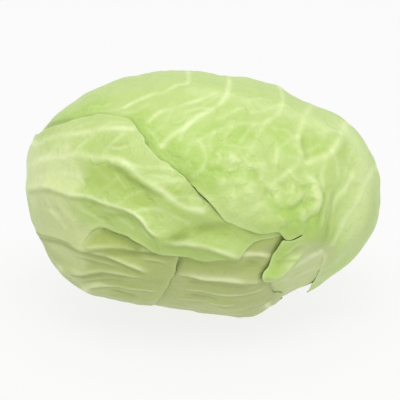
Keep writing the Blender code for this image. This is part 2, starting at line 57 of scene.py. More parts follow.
# Heart. The tightly packed inner leaves, one firm cream-green oval. It shows only through the
# ring of gaps round the stalk, but every wrapper leaf takes its shape from it: the oval, its
# broad folds, and the side that the head lies on.
MM = 0.001
VIEW_TILT = math.radians(20)
HEAD_CENTRE = np.array((1.5, -4.6, 80.2))
HALF_DEPTH = 86.0
FULLNESS = 2.12
MEAN_RADIUS = 100.0
VIEW_DISTANCE = 1100.0
WRAP = 6.5
RIM_SHARE = 0.99
RIM = (114.0, 109.0, 92.5, 84.0, 78.5, 80.5, 87.5, 99.0, 112.5,
       111.0, 111.0, 99.0, 79.5, 74.5, 79.5, 84.5, 92.0, 109.0)
REST_DROP = 74.6
REST_BLEND = 3.0
LEAST_DOWN = 0.05
FRONT, BACK = 1.0, -1.0
FOLDS = (
    (2.8, 8.0, FRONT, ((-105, 5), (-88, 0), (-67, -4), (-50, -10), (-38, -19), (-28, -27))),
    (2.4, 8.0, FRONT, ((-84, 26), (-60, 23), (-46, 16), (-33, 6), (-18, -5), (0, -12))),
    (2.6, 7.0, FRONT, ((-24, -31), (-4, -33), (12, -38), (24, -41))),
    (2.6, 7.0, FRONT, ((-112, -27), (-96, -32), (-80, -38), (-60, -43), (-42, -49))),
    (2.2, 6.0, FRONT, ((-84, -36), (-64, -35), (-42, -38))),
    (2.4, 7.0, FRONT, ((-92, -54), (-70, -52), (-40, -55))),
    (2.6, 7.0, FRONT, ((-14, -54), (7, -58), (34, -58))),
    (2.6, 16.0, FRONT, ((18, 12), (40, 2), (62, -6))),
    (2.0, 9.0, FRONT, ((92, 38), (86, 20), (80, 0), (76, -24))),
    (1.4, 8.0, FRONT, ((118, 22), (121, 10))),
    (-2.6, 8.0, FRONT, ((99, -45), (92, -51))),
    (2.2, 9.0, BACK, ((60, 60), (20, 45), (-10, 32))),
    (2.0, 9.0, BACK, ((-95, 62), (-70, 48), (-52, 36))),
    (2.2, 9.0, BACK, ((95, 15), (45, 12), (0, 18))),
    (2.0, 9.0, BACK, ((-70, -50), (-58, -22), (-48, 0))),
    (2.2, 9.0, BACK, ((45, -45), (12, -18), (-18, 6))),
)
HEART_DETAIL = 6
HEART_CREAM = (0.78, 0.80, 0.50, 1.0)
HEART_GREEN = (0.60, 0.70, 0.33, 1.0)
CRINKLE_SIZE = 9.0


def smooth(value):
    """Eases a number from 0 to 1, and holds it there outside that range."""
    value = np.clip(value, 0.0, 1.0)
    return value * value * (3.0 - 2.0 * value)


def unit(vectors):
    return vectors / np.linalg.norm(vectors, axis=-1, keepdims=True)


def rim_radius(angle):
    """Radius of the head's outline in the view: a smooth closed curve through RIM."""
    count = len(RIM)
    wave = np.fft.rfft(RIM) / count
    radius = np.full(np.shape(angle), wave[0].real)
    for turn in range(1, len(wave)):
        weight = 1.0 if 2 * turn == count else 2.0
        radius = radius + weight * (wave[turn] * np.exp(1j * turn * angle)).real
    return radius


def on_head(points, side):
    """Directions from the head's middle to points of the view, on its front or back.

    Points of the front are as they look from VIEW_DISTANCE, on leaves that stand WRAP proud of
    the heart. Points of the back are on the heart itself.
    """
    points = np.asarray(points, dtype=float)
    proud, shrink = (WRAP, 1.0 / VIEW_DISTANCE) if side == FRONT else (0.0, 0.0)
    rim = rim_radius(np.arctan2(points[:, 1], points[:, 0])) + proud
    depth = np.zeros(len(points))
    for _ in range(8):
        spots = points * (1.0 - depth * shrink)[:, None]
        share = np.minimum(np.hypot(*spots.T) / rim, RIM_SHARE)
        depth = (HALF_DEPTH + proud) * (1.0 - share ** FULLNESS) ** (1.0 / FULLNESS)
    return unit(np.column_stack([spots, side * depth]))


def front(*points):
    return on_head(points, FRONT)


def back(*points):
    return on_head(points, BACK)


def joined(*runs):
    """One path or margin out of runs of directions, such as from the back over to the front."""
    return np.vstack(runs)


def edge_on(*points):
    """Directions to points right on the head's outline in the view."""
    return unit(np.column_stack([points, np.zeros(len(points))]))


def trace(directions, path, reach=math.inf):
    """Distance in mm to a path over the head, its side (1 left, -1 right) and how far along.

    Directions further off than the reach are skipped, and keep an endless distance.
    """
    distance = np.full(len(directions), np.inf)
    side = np.ones(len(directions))
    along = np.zeros(len(directions))
    middle = path.mean(axis=0)
    room = np.linalg.norm(path - middle, axis=1).max() + reach / MEAN_RADIUS
    near = np.nonzero(np.linalg.norm(directions - middle, axis=1) < room)[0]
    spots = directions[near]
    steps = np.linalg.norm(np.diff(path, axis=0), axis=1)
    run = np.concatenate([[0.0], np.cumsum(steps)]) / steps.sum()
    best, turn, share_along = distance[near], side[near], along[near]
    for index, step in enumerate(steps):
        span = path[index + 1] - path[index]
        offset = spots - path[index]
        share = np.clip(offset @ span / step ** 2, 0.0, 1.0)
        away = np.linalg.norm(offset - share[:, None] * span, axis=1) * MEAN_RADIUS
        nearer = away < best
        best = np.where(nearer, away, best)
        turn = np.where(nearer, np.sign(spots @ np.cross(path[index], path[index + 1])), turn)
        share_along = np.where(nearer, run[index] + share * (run[index + 1] - run[index]),
                               share_along)
    distance[near], side[near], along[near] = best, turn, np.minimum(share_along, 1.0)
    return distance, side, along


def world(vectors):
    """Turns vectors of the view into the model's own axes."""
    x, u, toward = np.moveaxis(vectors, -1, 0)
    sin, cos = math.sin(VIEW_TILT), math.cos(VIEW_TILT)
    return np.stack([x, u * sin - toward * cos, u * cos + toward * sin], axis=-1)


def place(directions, radii):
    """Points of the model, in metres, at these radii from the head's middle."""
    return (world(directions * radii[:, None]) + HEAD_CENTRE) * MM


def head_radius(directions):
    """Radius of the heart: the oval of the head, its folds, and the pressed underside."""
    x, u, toward = directions.T
    across = np.hypot(x, u) / rim_radius(np.arctan2(u, x))
    deep = np.abs(toward) / HALF_DEPTH
    radius = (across ** FULLNESS + deep ** FULLNESS) ** (-1.0 / FULLNESS)
    for height, width, side, run in FOLDS:
        distance, _, _ = trace(directions, on_head(run, side))
        radius = radius + height * np.exp(-(distance / width) ** 2)
    down = -world(directions)[:, 2]
    floor = REST_DROP / np.maximum(down, LEAST_DOWN)
    return radius - REST_BLEND * np.logaddexp(0.0, (radius - floor) / REST_BLEND)


class Wire:
    """A number or colour that runs between two shader nodes, written as a value in a sum."""

    def __init__(self, finish, socket):
        self.finish, self.socket = finish, socket

    def sum_with(self, operation, first, second):
        return self.finish.node("Math", {"operation": operation}, {0: first, 1: second})

    def __add__(self, other):
        return self.sum_with("ADD", self, other)

    def __radd__(self, other):
        return self.sum_with("ADD", other, self)

    def __sub__(self, other):
        return self.sum_with("SUBTRACT", self, other)

    def __rsub__(self, other):
        return self.sum_with("SUBTRACT", other, self)

    def __mul__(self, other):
        return self.sum_with("MULTIPLY", self, other)

    def __rmul__(self, other):
        return self.sum_with("MULTIPLY", other, self)

    def __abs__(self):
        return self.finish.node("Math", {"operation": "ABSOLUTE"}, {0: self})


class Finish:
    """A material in the making: its nodes, and the finished surface at its end."""

    def __init__(self, name, roughness):
        self.material = bpy.data.materials.new(name)
        self.material.use_nodes = True
        self.tree = self.material.node_tree
        self.surface = self.tree.nodes["Principled BSDF"]
        self.surface.inputs["Roughness"].default_value = roughness
        self.where = self.node("TexCoord", out="Object")

    def node(self, kind, settings=None, sockets=None, out=0):
        """Adds a node, sets its options and then its sockets, and returns one output."""
        made = self.tree.nodes.new("ShaderNode" + kind)
        for option, value in (settings or {}).items():
            setattr(made, option, value)
        for socket, value in (sockets or {}).items():
            self.feed(made.inputs[socket], value)
        return Wire(self, made.outputs[out])

    def feed(self, socket, value):
        if isinstance(value, Wire):
            self.tree.links.new(value.socket, socket)
        else:
            socket.default_value = value

    def mix(self, share, first, second):
        """Blends two colours: all of the first at 0, all of the second at 1."""
        return self.node("Mix", {"data_type": "RGBA"}, {0: share, 6: first, 7: second}, out=2)

    def clouds(self, size, detail):
        """Soft noise from 0 to 1, with patches about a size in millimetres."""
        return self.node("TexNoise", None, {"Vector": self.where, "Scale": 1.0 / (size * MM),
                                            "Detail": detail})

    def ease(self, value, low, high):
        """0 below the low value, 1 above the high one, eased between."""
        return self.node("MapRange", {"interpolation_type": "SMOOTHSTEP"},
                         {"Value": value, "From Min": low, "From Max": high})

    def raise_by(self, height, strength, depth):
        """Raises the surface by a height from 0 to 1 that stands for a depth in millimetres."""
        bump = self.node("Bump", None, {"Height": height, "Strength": strength,
                                        "Distance": depth * MM})
        self.feed(self.surface.inputs["Normal"], bump)

    def colour(self, value):
        self.feed(self.surface.inputs["Base Color"], value)


bpy.ops.mesh.primitive_ico_sphere_add(subdivisions=HEART_DETAIL, radius=1.0)
heart = bpy.context.object
heart.name = heart.data.name = "packed_heart"
ball = np.zeros(3 * len(heart.data.vertices))
heart.data.vertices.foreach_get("co", ball)
ball = unit(ball.reshape(-1, 3))
heart.data.vertices.foreach_set("co", place(ball, head_radius(ball)).ravel())
heart.data.update()
bpy.ops.object.shade_smooth()

cream = Finish("heart_cream", 0.45)
crinkle = cream.clouds(CRINKLE_SIZE, 4.0)
cream.colour(cream.mix(crinkle, HEART_GREEN, HEART_CREAM))
cream.raise_by(crinkle, 0.6, 1.0)
heart.data.materials.append(cream.material)
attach(heart, "root")
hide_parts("heart")
bpy.ops.object.select_all(action="DESELECT")

# Stalk. The stem that the head grew on, sawn off close behind it, with a woody rind round
# pale pith. It is turned on its own line, runs into the heart, and its cut face has dried.
STUMP = (-39.0, 20.0)
STUMP_RADIUS = 14.0
STUMP_PROUD = 21.0
STUMP_CHAMFER = 1.5
COLLAR = 4.0
THROAT = 8.0
THROAT_RADIUS = 12.0
CORE_DEPTH = 62.0
CORE_TIP_RADIUS = 7.0
STALK_SIDES = 96
RIND_WIDTH = 2.2
PITH_HOLLOW = 0.9
STALK_FLUTES = 9
FLUTE_DEPTH = 0.5
PITH = (0.80, 0.80, 0.62, 1.0)
PITH_RING = (0.62, 0.66, 0.40, 1.0)
RIND = (0.60, 0.66, 0.36, 1.0)
CUT_RIM = 1.6
CUT_RIM_EASE = 0.8
DRIED_CUT = (0.66, 0.56, 0.36, 1.0)


def turned_rings(rings, sides, wobble):
    """Points and faces of a turned solid: rings of radius and distance along the stump's line."""
    axis = back(STUMP)[0]
    side = unit(np.cross(axis, (0.0, 1.0, 0.0)))
    other = np.cross(axis, side)
    turn = 2 * math.pi * np.arange(sides) / sides
    points = []
    for radius, height in rings:
        rounds = radius * (1.0 + wobble * np.cos(STALK_FLUTES * turn + 0.6 * np.sin(2 * turn)))
        points += list(axis * height + rounds[:, None] * (np.cos(turn)[:, None] * side
                                                          + np.sin(turn)[:, None] * other))
    faces = []
    for ring in range(len(rings) - 1):
        low, high = ring * sides, (ring + 1) * sides
        for step in range(sides):
            after = (step + 1) % sides
            faces.append((low + step, low + after, high + after, high + step))
    return points, faces


reach = float(head_radius(back(STUMP))[0])
cut_height = reach + STUMP_PROUD
profile = [(CORE_TIP_RADIUS, reach - CORE_DEPTH), (THROAT_RADIUS, reach - THROAT)]
profile += [(STUMP_RADIUS - (STUMP_RADIUS - THROAT_RADIUS) * (1 - step / 4) ** 2,
             reach - THROAT + (COLLAR + THROAT) * step / 4) for step in (1, 2, 3, 4)]
profile += [(STUMP_RADIUS, reach + COLLAR + (STUMP_PROUD - COLLAR - STUMP_CHAMFER) * step / 4)
            for step in (1, 2, 3, 4)]
profile += [(STUMP_RADIUS - 0.4 * STUMP_CHAMFER, cut_height - 0.35 * STUMP_CHAMFER),
            (STUMP_RADIUS - STUMP_CHAMFER, cut_height)]
profile += [(STUMP_RADIUS - STUMP_CHAMFER - RIND_WIDTH * step / 3,
             cut_height - 0.4 * PITH_HOLLOW * step / 3) for step in (1, 2, 3)]
profile += [((STUMP_RADIUS - STUMP_CHAMFER - RIND_WIDTH) * (1 - step / 8),
             cut_height - PITH_HOLLOW * (0.4 + 0.6 * step / 8)) for step in (2, 4, 6)]
stalk_points, stalk_faces = turned_rings(profile, STALK_SIDES, FLUTE_DEPTH / STUMP_RADIUS)
stalk_faces.append(tuple(reversed(range(STALK_SIDES))))
stalk_faces.append(tuple(range(len(stalk_points) - STALK_SIDES, len(stalk_points))))
stalk_mesh = bpy.data.meshes.new("cut_stalk")
stalk_spots = (world(np.array(stalk_points)) + HEAD_CENTRE) * MM
stalk_mesh.from_pydata(stalk_spots.tolist(), [], stalk_faces)
stalk_mesh.shade_smooth()
heights = np.repeat([height for _, height in profile], STALK_SIDES)
radii = np.repeat([radius for radius, _ in profile], STALK_SIDES)
for name, values in (("from_axis", radii / STUMP_RADIUS),
                     ("cut_face", smooth((heights - cut_height + CUT_RIM) / CUT_RIM_EASE))):
    stalk_mesh.attributes.new(name, "FLOAT", "POINT").data.foreach_set("value", values)
stalk = bpy.data.objects.new("cut_stalk", stalk_mesh)
bpy.context.collection.objects.link(stalk)

woody = Finish("stalk_cut", 0.62)
from_axis = woody.node("Attribute", {"attribute_name": "from_axis"}, out="Fac")
cut_face = woody.node("Attribute", {"attribute_name": "cut_face"}, out="Fac")
fibres = woody.clouds(1.6, 5.0)
stains = woody.clouds(7.0, 3.0)
ring = woody.ease(from_axis, 0.62, 0.74) - woody.ease(from_axis, 0.78, 0.86)
face_colour = woody.mix(ring * 0.7, PITH, PITH_RING)
face_colour = woody.mix(woody.ease(stains * (0.6 + 0.5 * from_axis), 0.35, 0.7), face_colour,
                        DRIED_CUT)
side_colour = woody.mix(stains, RIND, PITH)
woody.colour(woody.mix(cut_face, side_colour, face_colour))
woody.raise_by(fibres, 0.8, 0.8)
stalk_mesh.materials.append(woody.material)
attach(stalk, "root")
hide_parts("stalk")

# Upper left wrapper leaf. An inner leaf of the head, pale green, that the two outer leaves
# hide but for the gaps at their margins. Like every leaf here it is cut flat with its own
# margin and midrib, and wrapped round the head at the end of this script.

# Thickness, the air between leaves, and the midribs.
BLADE = 1.2
MARGIN_BLADE = 0.75
GAP = 1.0
MARGIN_GAP = 0.35
MARGIN_EASE = 9.0
RAMP = 26.0
RIB_HEIGHT = 4.5
RIB_WIDTH = 9.0
RIB_SHELF = (11.0, 24.0)
RIB_FALL = 1.3

# The cut: size of the mesh, and the rounded, waved margin.
UNDERSIDE_CELL = 6.0
MARGIN_STEP = 1.2
COVER_STEP = 4.0
MARGIN_ROUND = 0.3
MARGIN_WAVE = 1.6
MARGIN_WAVE_STEP = 31.0
PATH_STEP = 4.0
CELL_CLEARANCE = 0.7

# How leaves lie on one another, and the painted shade under a margin.
SWAP_LINE = (-13.0, -1.0)
SWAP_ROOM = 1.4
BARE_RAMP = 5.0
SUNK_DEPTH = 1.3
SUNK_LEVEL = 1.5
TUCKED_SHADE = 0.55
TUCKED_FADE = 2.4
DEEPEST_DENT = 0.8
MARGIN_SPARED = 0.3

# The skin's own relief and wear, and the painted highlight and shade on its puckered blisters.
CRUMPLE = 0.5
CRUMPLE_SIZES = (30.0, 14.0, 8.0)
CRUMPLE_RISE = 2.6
CRUMPLE_DROP = 0.9
CRUMPLE_SMALLER = 0.6
RIB_TAPER = 0.5
RIB_VEIN = (0.8, 0.32)
RIB_PALE = (0.6, 3.0)
RIB_PALE_END = 1.8
WEAR_SIZE = 14.0
WEAR_EVEN, WEAR_SWING = 0.80, 0.7
WEAR_LEAST, WEAR_MOST = 0.35, 1.1
WORN_VEIN = 0.4
PUCKER_STEEP = 2.2
PUCKER_LEAST = 0.03
PUCKER_LIGHT_AND_SHADE = 0.25
PUCKER_EVEN = 0.55
MARGIN_PALE_WIDTH = 1.4

# Side veins and their forks.
SIDE_VEIN_ANGLE = math.radians(52.0)
SIDE_VEIN_SHIFT = 0.02
SIDE_VEIN_STRENGTH = 0.75
VEIN_BEND = 0.3
VEIN_STEP = 9.0
VEIN_CLEARANCE = 3.0
WEAKEST_FORKED = 0.4
FORKS = ((0.35, 1), (0.6, -1), (0.8, 1))
FORK_LENGTH = 0.42
FORK_ANGLE = 0.62
FORK_STRENGTH = 0.5

# Veins and folds across their width, and how they fade at their ends.
STROKE_REACH = 3.6
VEIN_FADE = 20.0
VEIN_START = 0.4
VEIN_TAPER = 0.45
VEIN_CORE, VEIN_BODY = 0.36, 0.6
VEIN_HALO = (0.15, 1.3)
VEIN_FLANK = (0.3, 1.9, 0.9)
FOLD_FADE = 9.0
FOLD_STEEP = 2.2
FOLD_TOP = 2.4
FOLD_FOOT, FOOT_WIDTH, FOOT_REACH = 0.8, 0.45, 3.0

# The look of the skin.
TINTS = ("vein", "pale", "deep_green", "dull", "shade", "margin", "rumple")
DULL_GREEN = (0.49, 0.56, 0.24, 1.0)
SKIN_ROUGHNESS = 0.42
ROUGHNESS_SPREAD = 0.22
DRIFT_SIZE, MOTTLE_SIZE, CRUMPLE_SIZE = 24.0, 6.0, 17.0
PLATES = ((17.0, 0.16, 0.65), (8.0, 0.18, 0.35))
NETS = ((9.0, 0.07), (3.6, 0.10))
NET_WARP_SCALE, NET_WARP = 110.0, 0.009
NET_PALE, MARGIN_PALE, SHADE_STRENGTH = 0.12, 0.25, 0.85
SKIN_BUMP = (0.7, 0.9)


def signed_distance(points, outline):
    """Distance from points of a plane to a closed outline, negative inside it."""
    x, y = points.T
    best = np.full(len(points), np.inf)
    inside = np.zeros(len(points), dtype=bool)
    for start, end in zip(outline, np.roll(outline, -1, axis=0)):
        span = end - start
        share = np.clip((points - start) @ span / max(span @ span, 1e-9), 0.0, 1.0)
        away_x = x - start[0] - share * span[0]
        away_y = y - start[1] - share * span[1]
        best = np.minimum(best, away_x ** 2 + away_y ** 2)
        if start[1] != end[1]:
            crossing = start[0] + (y - start[1]) / span[1] * span[0]
            inside ^= ((start[1] > y) != (end[1] > y)) & (x < crossing)
    return np.where(inside, -np.sqrt(best), np.sqrt(best))


def curve_through(points, step, closed=True):
    """A smooth curve through the points, in pieces about a step long."""
    count = len(points)
    curve = []
    for index in range(count if closed else count - 1):
        if closed:
            before, start, end, after = (points[(index + k) % count] for k in (-1, 0, 1, 2))
        else:
            before, start, end, after = (points[min(max(index + k, 0), count - 1)]
                                         for k in (-1, 0, 1, 2))
        pieces = max(1, round(math.dist(start, end) / step))
        for t in np.arange(pieces) / pieces:
            curve.append(0.5 * (2 * start + (end - before) * t
                                + (2 * before - 5 * start + 4 * end - after) * t ** 2
                                + (3 * start - before - 3 * end + after) * t ** 3))
    if not closed:
        curve.append(points[-1])
    return np.array(curve)


def soft_path(directions):
    """A path over the head as a smooth line, in pieces about PATH_STEP long."""
    return unit(curve_through(directions, PATH_STEP / MEAN_RADIUS, closed=False))


def swells(places, size, shift):
    """Soft bumps and hollows from -1 to 1, about a size in millimetres across."""
    return np.array([noise.noise(spot) for spot in (places / size + shift).tolist()])


def blisters(places, size):
    """Puckered skin: 0 along the creases between cells of this size, up to 1 inside them."""
    gaps = []
    for spot in (places / size).tolist():
        near = noise.voronoi(spot)[0]
        gaps.append(near[1] - near[0])
    return np.array(gaps)


class Leaf:
    """One wrapper leaf: cut flat round its own middle, then wrapped round the head."""

    def __init__(self, name, cell, middle, margin, midrib, waved=True):
        self.name, self.cell = name, cell
        self.middle = middle[0]
        self.midrib = soft_path(midrib)
        self.marks = []
        self.lifts = []
        self.pucker = []
        self.sunk = []
        tip = midrib[-1]
        self.along = unit(tip - (tip @ self.middle) * self.middle)
        self.across = np.cross(self.middle, self.along)
        flat_margin = self.flat(margin)
        if np.cross(flat_margin, np.roll(flat_margin, -1, axis=0)).sum() < 0:
            flat_margin = flat_margin[::-1]
        self.outline = curve_through(flat_margin, MARGIN_STEP)
        if waved:
            self.wave_margin()
        self.rough_outline = self.outline[::round(COVER_STEP / MARGIN_STEP)]

    def flat(self, directions):
        """Places directions on the leaf's own plane, in millimetres from its middle."""
        cos = np.clip(directions @ self.middle, -1.0, 1.0)
        angle = np.arccos(cos)
        stretch = MEAN_RADIUS * angle / np.maximum(np.sin(angle), 1e-6)
        flat = np.stack([directions @ self.along, directions @ self.across], axis=1)
        return flat * stretch[:, None]

    def round(self, points):
        """Takes points of the leaf's plane back to directions."""
        angle = np.hypot(*points.T) / MEAN_RADIUS
        scale = np.sinc(angle / math.pi) / MEAN_RADIUS
        side = points[:, :1] * self.along + points[:, 1:] * self.across
        return unit(np.cos(angle)[:, None] * self.middle + scale[:, None] * side)

    def outward(self):
        """The direction away from the leaf, at each point of its margin."""
        along = unit(np.roll(self.outline, -1, axis=0) - np.roll(self.outline, 1, axis=0))
        return np.stack([along[:, 1], -along[:, 0]], axis=1)

    def wave_margin(self):
        """Gives a hidden margin its soft waves, in and out of the leaf."""
        run = np.cumsum(np.linalg.norm(np.roll(self.outline, -1, axis=0) - self.outline, axis=1))
        waves = max(3, round(run[-1] / MARGIN_WAVE_STEP))
        swing = np.sin(2 * math.pi * waves * run / run[-1]) * MARGIN_WAVE
        self.outline = self.outline + self.outward() * swing[:, None]

    def mark(self, kind, paths, height, width, colour):
        for path in paths:
            line = soft_path(path)
            self.marks.append((kind, line, height, width, colour))

    def veins(self, height, width, pale, *paths):
        """Raised pale veins along paths, that thin out towards their ends."""
        self.mark("vein", paths, height, width, pale)

    def folds(self, height, width, shadow, pale, *paths):
        """Folds with a painted highlight along the ridge, and painted shade at the foot of the steep
        side on the right of each path.
        """
        self.mark("fold", paths, height, width, (shadow, pale))

    def creases(self, depth, width, shadow, *paths):
        """Thin pressed lines, with painted shade along them."""
        self.mark("crease", paths, depth, width, shadow)

    def tint(self, *rows):
        """Patches of a kind, an amount and a width, along paths of the front."""
        for kind, amount, width, *path in rows:
            self.mark(kind, [front(*path)], amount, width, None)

    def dots(self, height, width, pale, places):
        """Small blisters with a painted highlight, or dents with painted shade where the height and
        paleness are negative.
        """
        for spot in places:
            self.marks.append(("dot", spot[None], height, width, pale))

    def side_veins(self, starts, lengths):
        """Side veins off both sides of the midrib, forked, by the way that leaves grow."""
        line = self.flat(self.midrib)
        heading = unit(np.gradient(line, axis=0))
        for number, share in enumerate(starts):
            for side in (-1, 1):
                start = np.clip(share + SIDE_VEIN_SHIFT * side, SIDE_VEIN_SHIFT, 1 - SIDE_VEIN_SHIFT)
                index = int(start * (len(line) - 1))
                self.grow(line[index], heading[index], side, lengths[number % len(lengths)],
                          SIDE_VEIN_ANGLE, SIDE_VEIN_STRENGTH)

    def grow(self, start, heading, side, length, opening, strength):
        """One side vein and its forks, in the leaf's plane, up to near the margin."""
        angle = math.atan2(heading[1], heading[0]) + side * opening
        steps = max(3, round(length / VEIN_STEP))
        points = [start]
        for step in range(steps):
            angle -= side * VEIN_BEND / steps
            ahead = points[-1] + length / steps * np.array((math.cos(angle), math.sin(angle)))
            points.append(ahead)
        inside = signed_distance(np.array(points), self.rough_outline) < -VEIN_CLEARANCE
        kept = points[:steps + 1 if inside.all() else max(int(np.argmin(inside)), 1)]
        if len(kept) < 3:
            return
        line = self.round(np.array(kept))
        self.veins(0.8 * strength, 1.3 + 0.8 * strength, 0.75 * strength, line)
        if strength < WEAKEST_FORKED:
            return
        for fork, turn in FORKS:
            index = int(fork * (len(kept) - 1))
            way = unit(kept[min(index + 1, len(kept) - 1)] - kept[max(index - 1, 0)])
            self.grow(kept[index], way, turn * side, FORK_LENGTH * length, FORK_ANGLE,
                      FORK_STRENGTH * strength)

    def cover(self, directions):
        """1 over the leaf, easing to 0 past its margin."""
        return smooth(1.0 - signed_distance(self.flat(directions), self.rough_outline) / RAMP)

    def shelf(self, directions):
        """How far the midrib holds an upper leaf off, with a broad flat top."""
        distance, _, run = trace(directions, self.midrib)
        near, far = RIB_SHELF
        return RIB_HEIGHT * (1.0 - run) ** RIB_FALL * smooth((far - distance) / (far - near))

    def build_up(self, directions):
        """What the leaf adds to the head for the leaves above it."""
        return self.cover(directions) * (BLADE + GAP + self.shelf(directions))

    def bed(self, directions, below, inside):
        """Radius of the leaf's inner face: the head, the leaves below, and a little air."""
        edge = smooth(1.0 - inside / MARGIN_EASE)
        radius = head_radius(directions) + GAP - (GAP - MARGIN_GAP) * edge
        for amount, width, path in self.lifts:
            distance, _, _ = trace(directions, path, 3 * width)
            radius = radius + amount * np.exp(-(distance / width) ** 2)
        for under in below:
            radius = radius + under.build_up(directions) * stacking(self, under, directions)
        return radius - SUNK_DEPTH * self.flush(directions)

    def flush(self, directions):
        """1 where the margin is pressed level with the leaf below it."""
        level = np.zeros(len(directions))
        for width, path in self.sunk:
            distance, _, _ = trace(directions, path, width)
            level = np.maximum(level, smooth(SUNK_LEVEL * (1.0 - distance / width)))
        return level

    def relief(self, directions, bare, inside):
        """How far the leaf's outer face stands up, and its tints."""
        places = directions * MEAN_RADIUS
        calm = smooth(inside / MARGIN_EASE)
        broad, middling, small = CRUMPLE_SIZES
        creased = np.abs(swells(places, broad, 1.3))
        creased = creased + CRUMPLE_SMALLER * np.abs(swells(places, middling, 3.7))
        height = CRUMPLE * calm * (CRUMPLE_RISE * creased - CRUMPLE_DROP
                                   + CRUMPLE_SMALLER * swells(places, small, 5.1))
        tints = {kind: np.zeros(len(directions)) for kind in TINTS}
        distance, _, run = trace(directions, self.midrib)
        width = RIB_WIDTH * (1.0 - RIB_TAPER * run)
        height += RIB_HEIGHT * (1.0 - run) ** RIB_FALL * np.exp(-(distance / width) ** 2)
        strength, spread = RIB_VEIN
        tints["vein"] = strength * (1.0 - run) ** 0.5 * np.exp(-(distance / (spread * width)) ** 2)
        strength, spread = RIB_PALE
        fading = smooth(1.0 - RIB_PALE_END * run)
        tints["pale"] = strength * fading * np.exp(-(distance / (spread * width)) ** 2)
        worn = WEAR_EVEN + WEAR_SWING * swells(places, WEAR_SIZE, 2.2)
        worn = np.clip(worn, WEAR_LEAST, WEAR_MOST)
        for kind, path, amount, width, look in self.marks:
            spared = bare if kind != "vein" else bare * (WORN_VEIN + (1 - WORN_VEIN) * worn)
            height += self.stroke(kind, path, amount, width, look, directions, spared, tints)
        tints["vein"] *= worn
        for amount, size, width, path in self.pucker:
            distance, _, _ = trace(directions, path, 3 * width)
            spread = np.exp(-(distance / width) ** 2) * bare * calm
            near = np.nonzero(spread > PUCKER_LEAST)[0]
            skin = smooth(PUCKER_STEEP * blisters(places[near], size))
            height[near] += amount * spread[near] * skin
            # Painted highlight on the blister cells and painted shade along the creases between them.
            tints["pale"][near] += PUCKER_LIGHT_AND_SHADE * amount * spread[near] * (skin - PUCKER_EVEN)
        tints["margin"] = np.exp(-inside / MARGIN_PALE_WIDTH)
        return height, tints

    def stroke(self, kind, path, amount, width, look, directions, bare, tints):
        """The height that one mark adds, and its share of the tints."""
        if kind == "dot":
            across = np.linalg.norm(directions - path[0], axis=1) * MEAN_RADIUS / width
            spot = np.exp(-across ** 2)
            # Painted highlight on a blister, or painted shade in a dent where the paleness is negative.
            tints["pale"] += look * spot
            return amount * spot * bare
        distance, side, run = trace(directions, path, STROKE_REACH * width)
        across = distance / width
        if kind in TINTS:
            tints[kind] += amount * np.exp(-across ** 2)
            return 0.0
        length = np.linalg.norm(np.diff(path, axis=0), axis=1).sum() * MEAN_RADIUS
        if kind == "vein":
            ends = smooth(VEIN_START + run * length / VEIN_FADE)
            ends = ends * smooth((1.0 - run) * length / VEIN_FADE)
            slim = 1.0 - VEIN_TAPER * run
            line = look * np.exp(-(across / (VEIN_CORE * slim)) ** 2) * ends
            tints["vein"] = np.maximum(tints["vein"], line)
            halo, spread = VEIN_HALO
            tints["pale"] += halo * look * np.exp(-(across / spread) ** 2) * ends
            flank, off, spread = VEIN_FLANK
            tints["deep_green"] += flank * look * np.exp(-((across - off) / spread) ** 2) * ends
            return amount * slim * np.exp(-(across / (VEIN_BODY * slim)) ** 2) * ends * bare
        ends = smooth(run * length / FOLD_FADE) * smooth((1.0 - run) * length / FOLD_FADE)
        if kind == "crease":
            # Painted shade along the crease.
            tints["shade"] = np.maximum(tints["shade"], look * np.exp(-across ** 2) * ends)
            return -amount * np.exp(-across ** 2) * ends * bare
        shadow, pale = look
        ridge = np.exp(-np.where(side > 0, across, FOLD_STEEP * across) ** 2) * ends
        # Painted highlight along the fold's ridge, stored with the veins' paleness, and painted shade
        # at the foot of its steep side.
        top = pale * np.exp(-(FOLD_TOP * across) ** 2) * ends
        tints["vein"] = np.maximum(tints["vein"], top)
        foot = shadow * np.exp(-((side * across + FOLD_FOOT) / FOOT_WIDTH) ** 2) * ends
        tints["shade"] = np.maximum(tints["shade"], foot * (across < FOOT_REACH))
        return amount * ridge * bare

    def cut(self, finish):
        """Cuts the leaf flat, in two skins that share their margin, and gives it its finish."""
        low, high = self.outline.min(axis=0), self.outline.max(axis=0)
        self.skins = []
        for cell in (self.cell, UNDERSIDE_CELL):
            rows = np.arange(low[1], high[1], cell * math.sqrt(0.75))
            filling = np.array([(x + 0.5 * cell * (row % 2), y) for row, y in enumerate(rows)
                                for x in np.arange(low[0], high[0], cell)])
            filling = filling[signed_distance(filling, self.rough_outline) < -CELL_CLEARANCE * cell]
            points = np.vstack([self.outline, filling])
            ring = list(range(len(self.outline)))
            made = delaunay_2d_cdt(points.tolist(), [], [ring], 1, 1e-4)
            source = [origin[0] if origin else 0 for origin in made[3]]
            self.skins.append((points, np.array(source)[np.array(made[2])]))
        mesh = bpy.data.meshes.new(self.name)
        mesh.materials.append(finish.material)
        self.piece = bpy.data.objects.new("wrapper_" + self.name, mesh)
        bpy.context.collection.objects.link(self.piece)
        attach(self.piece, "root")
        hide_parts(self.name)

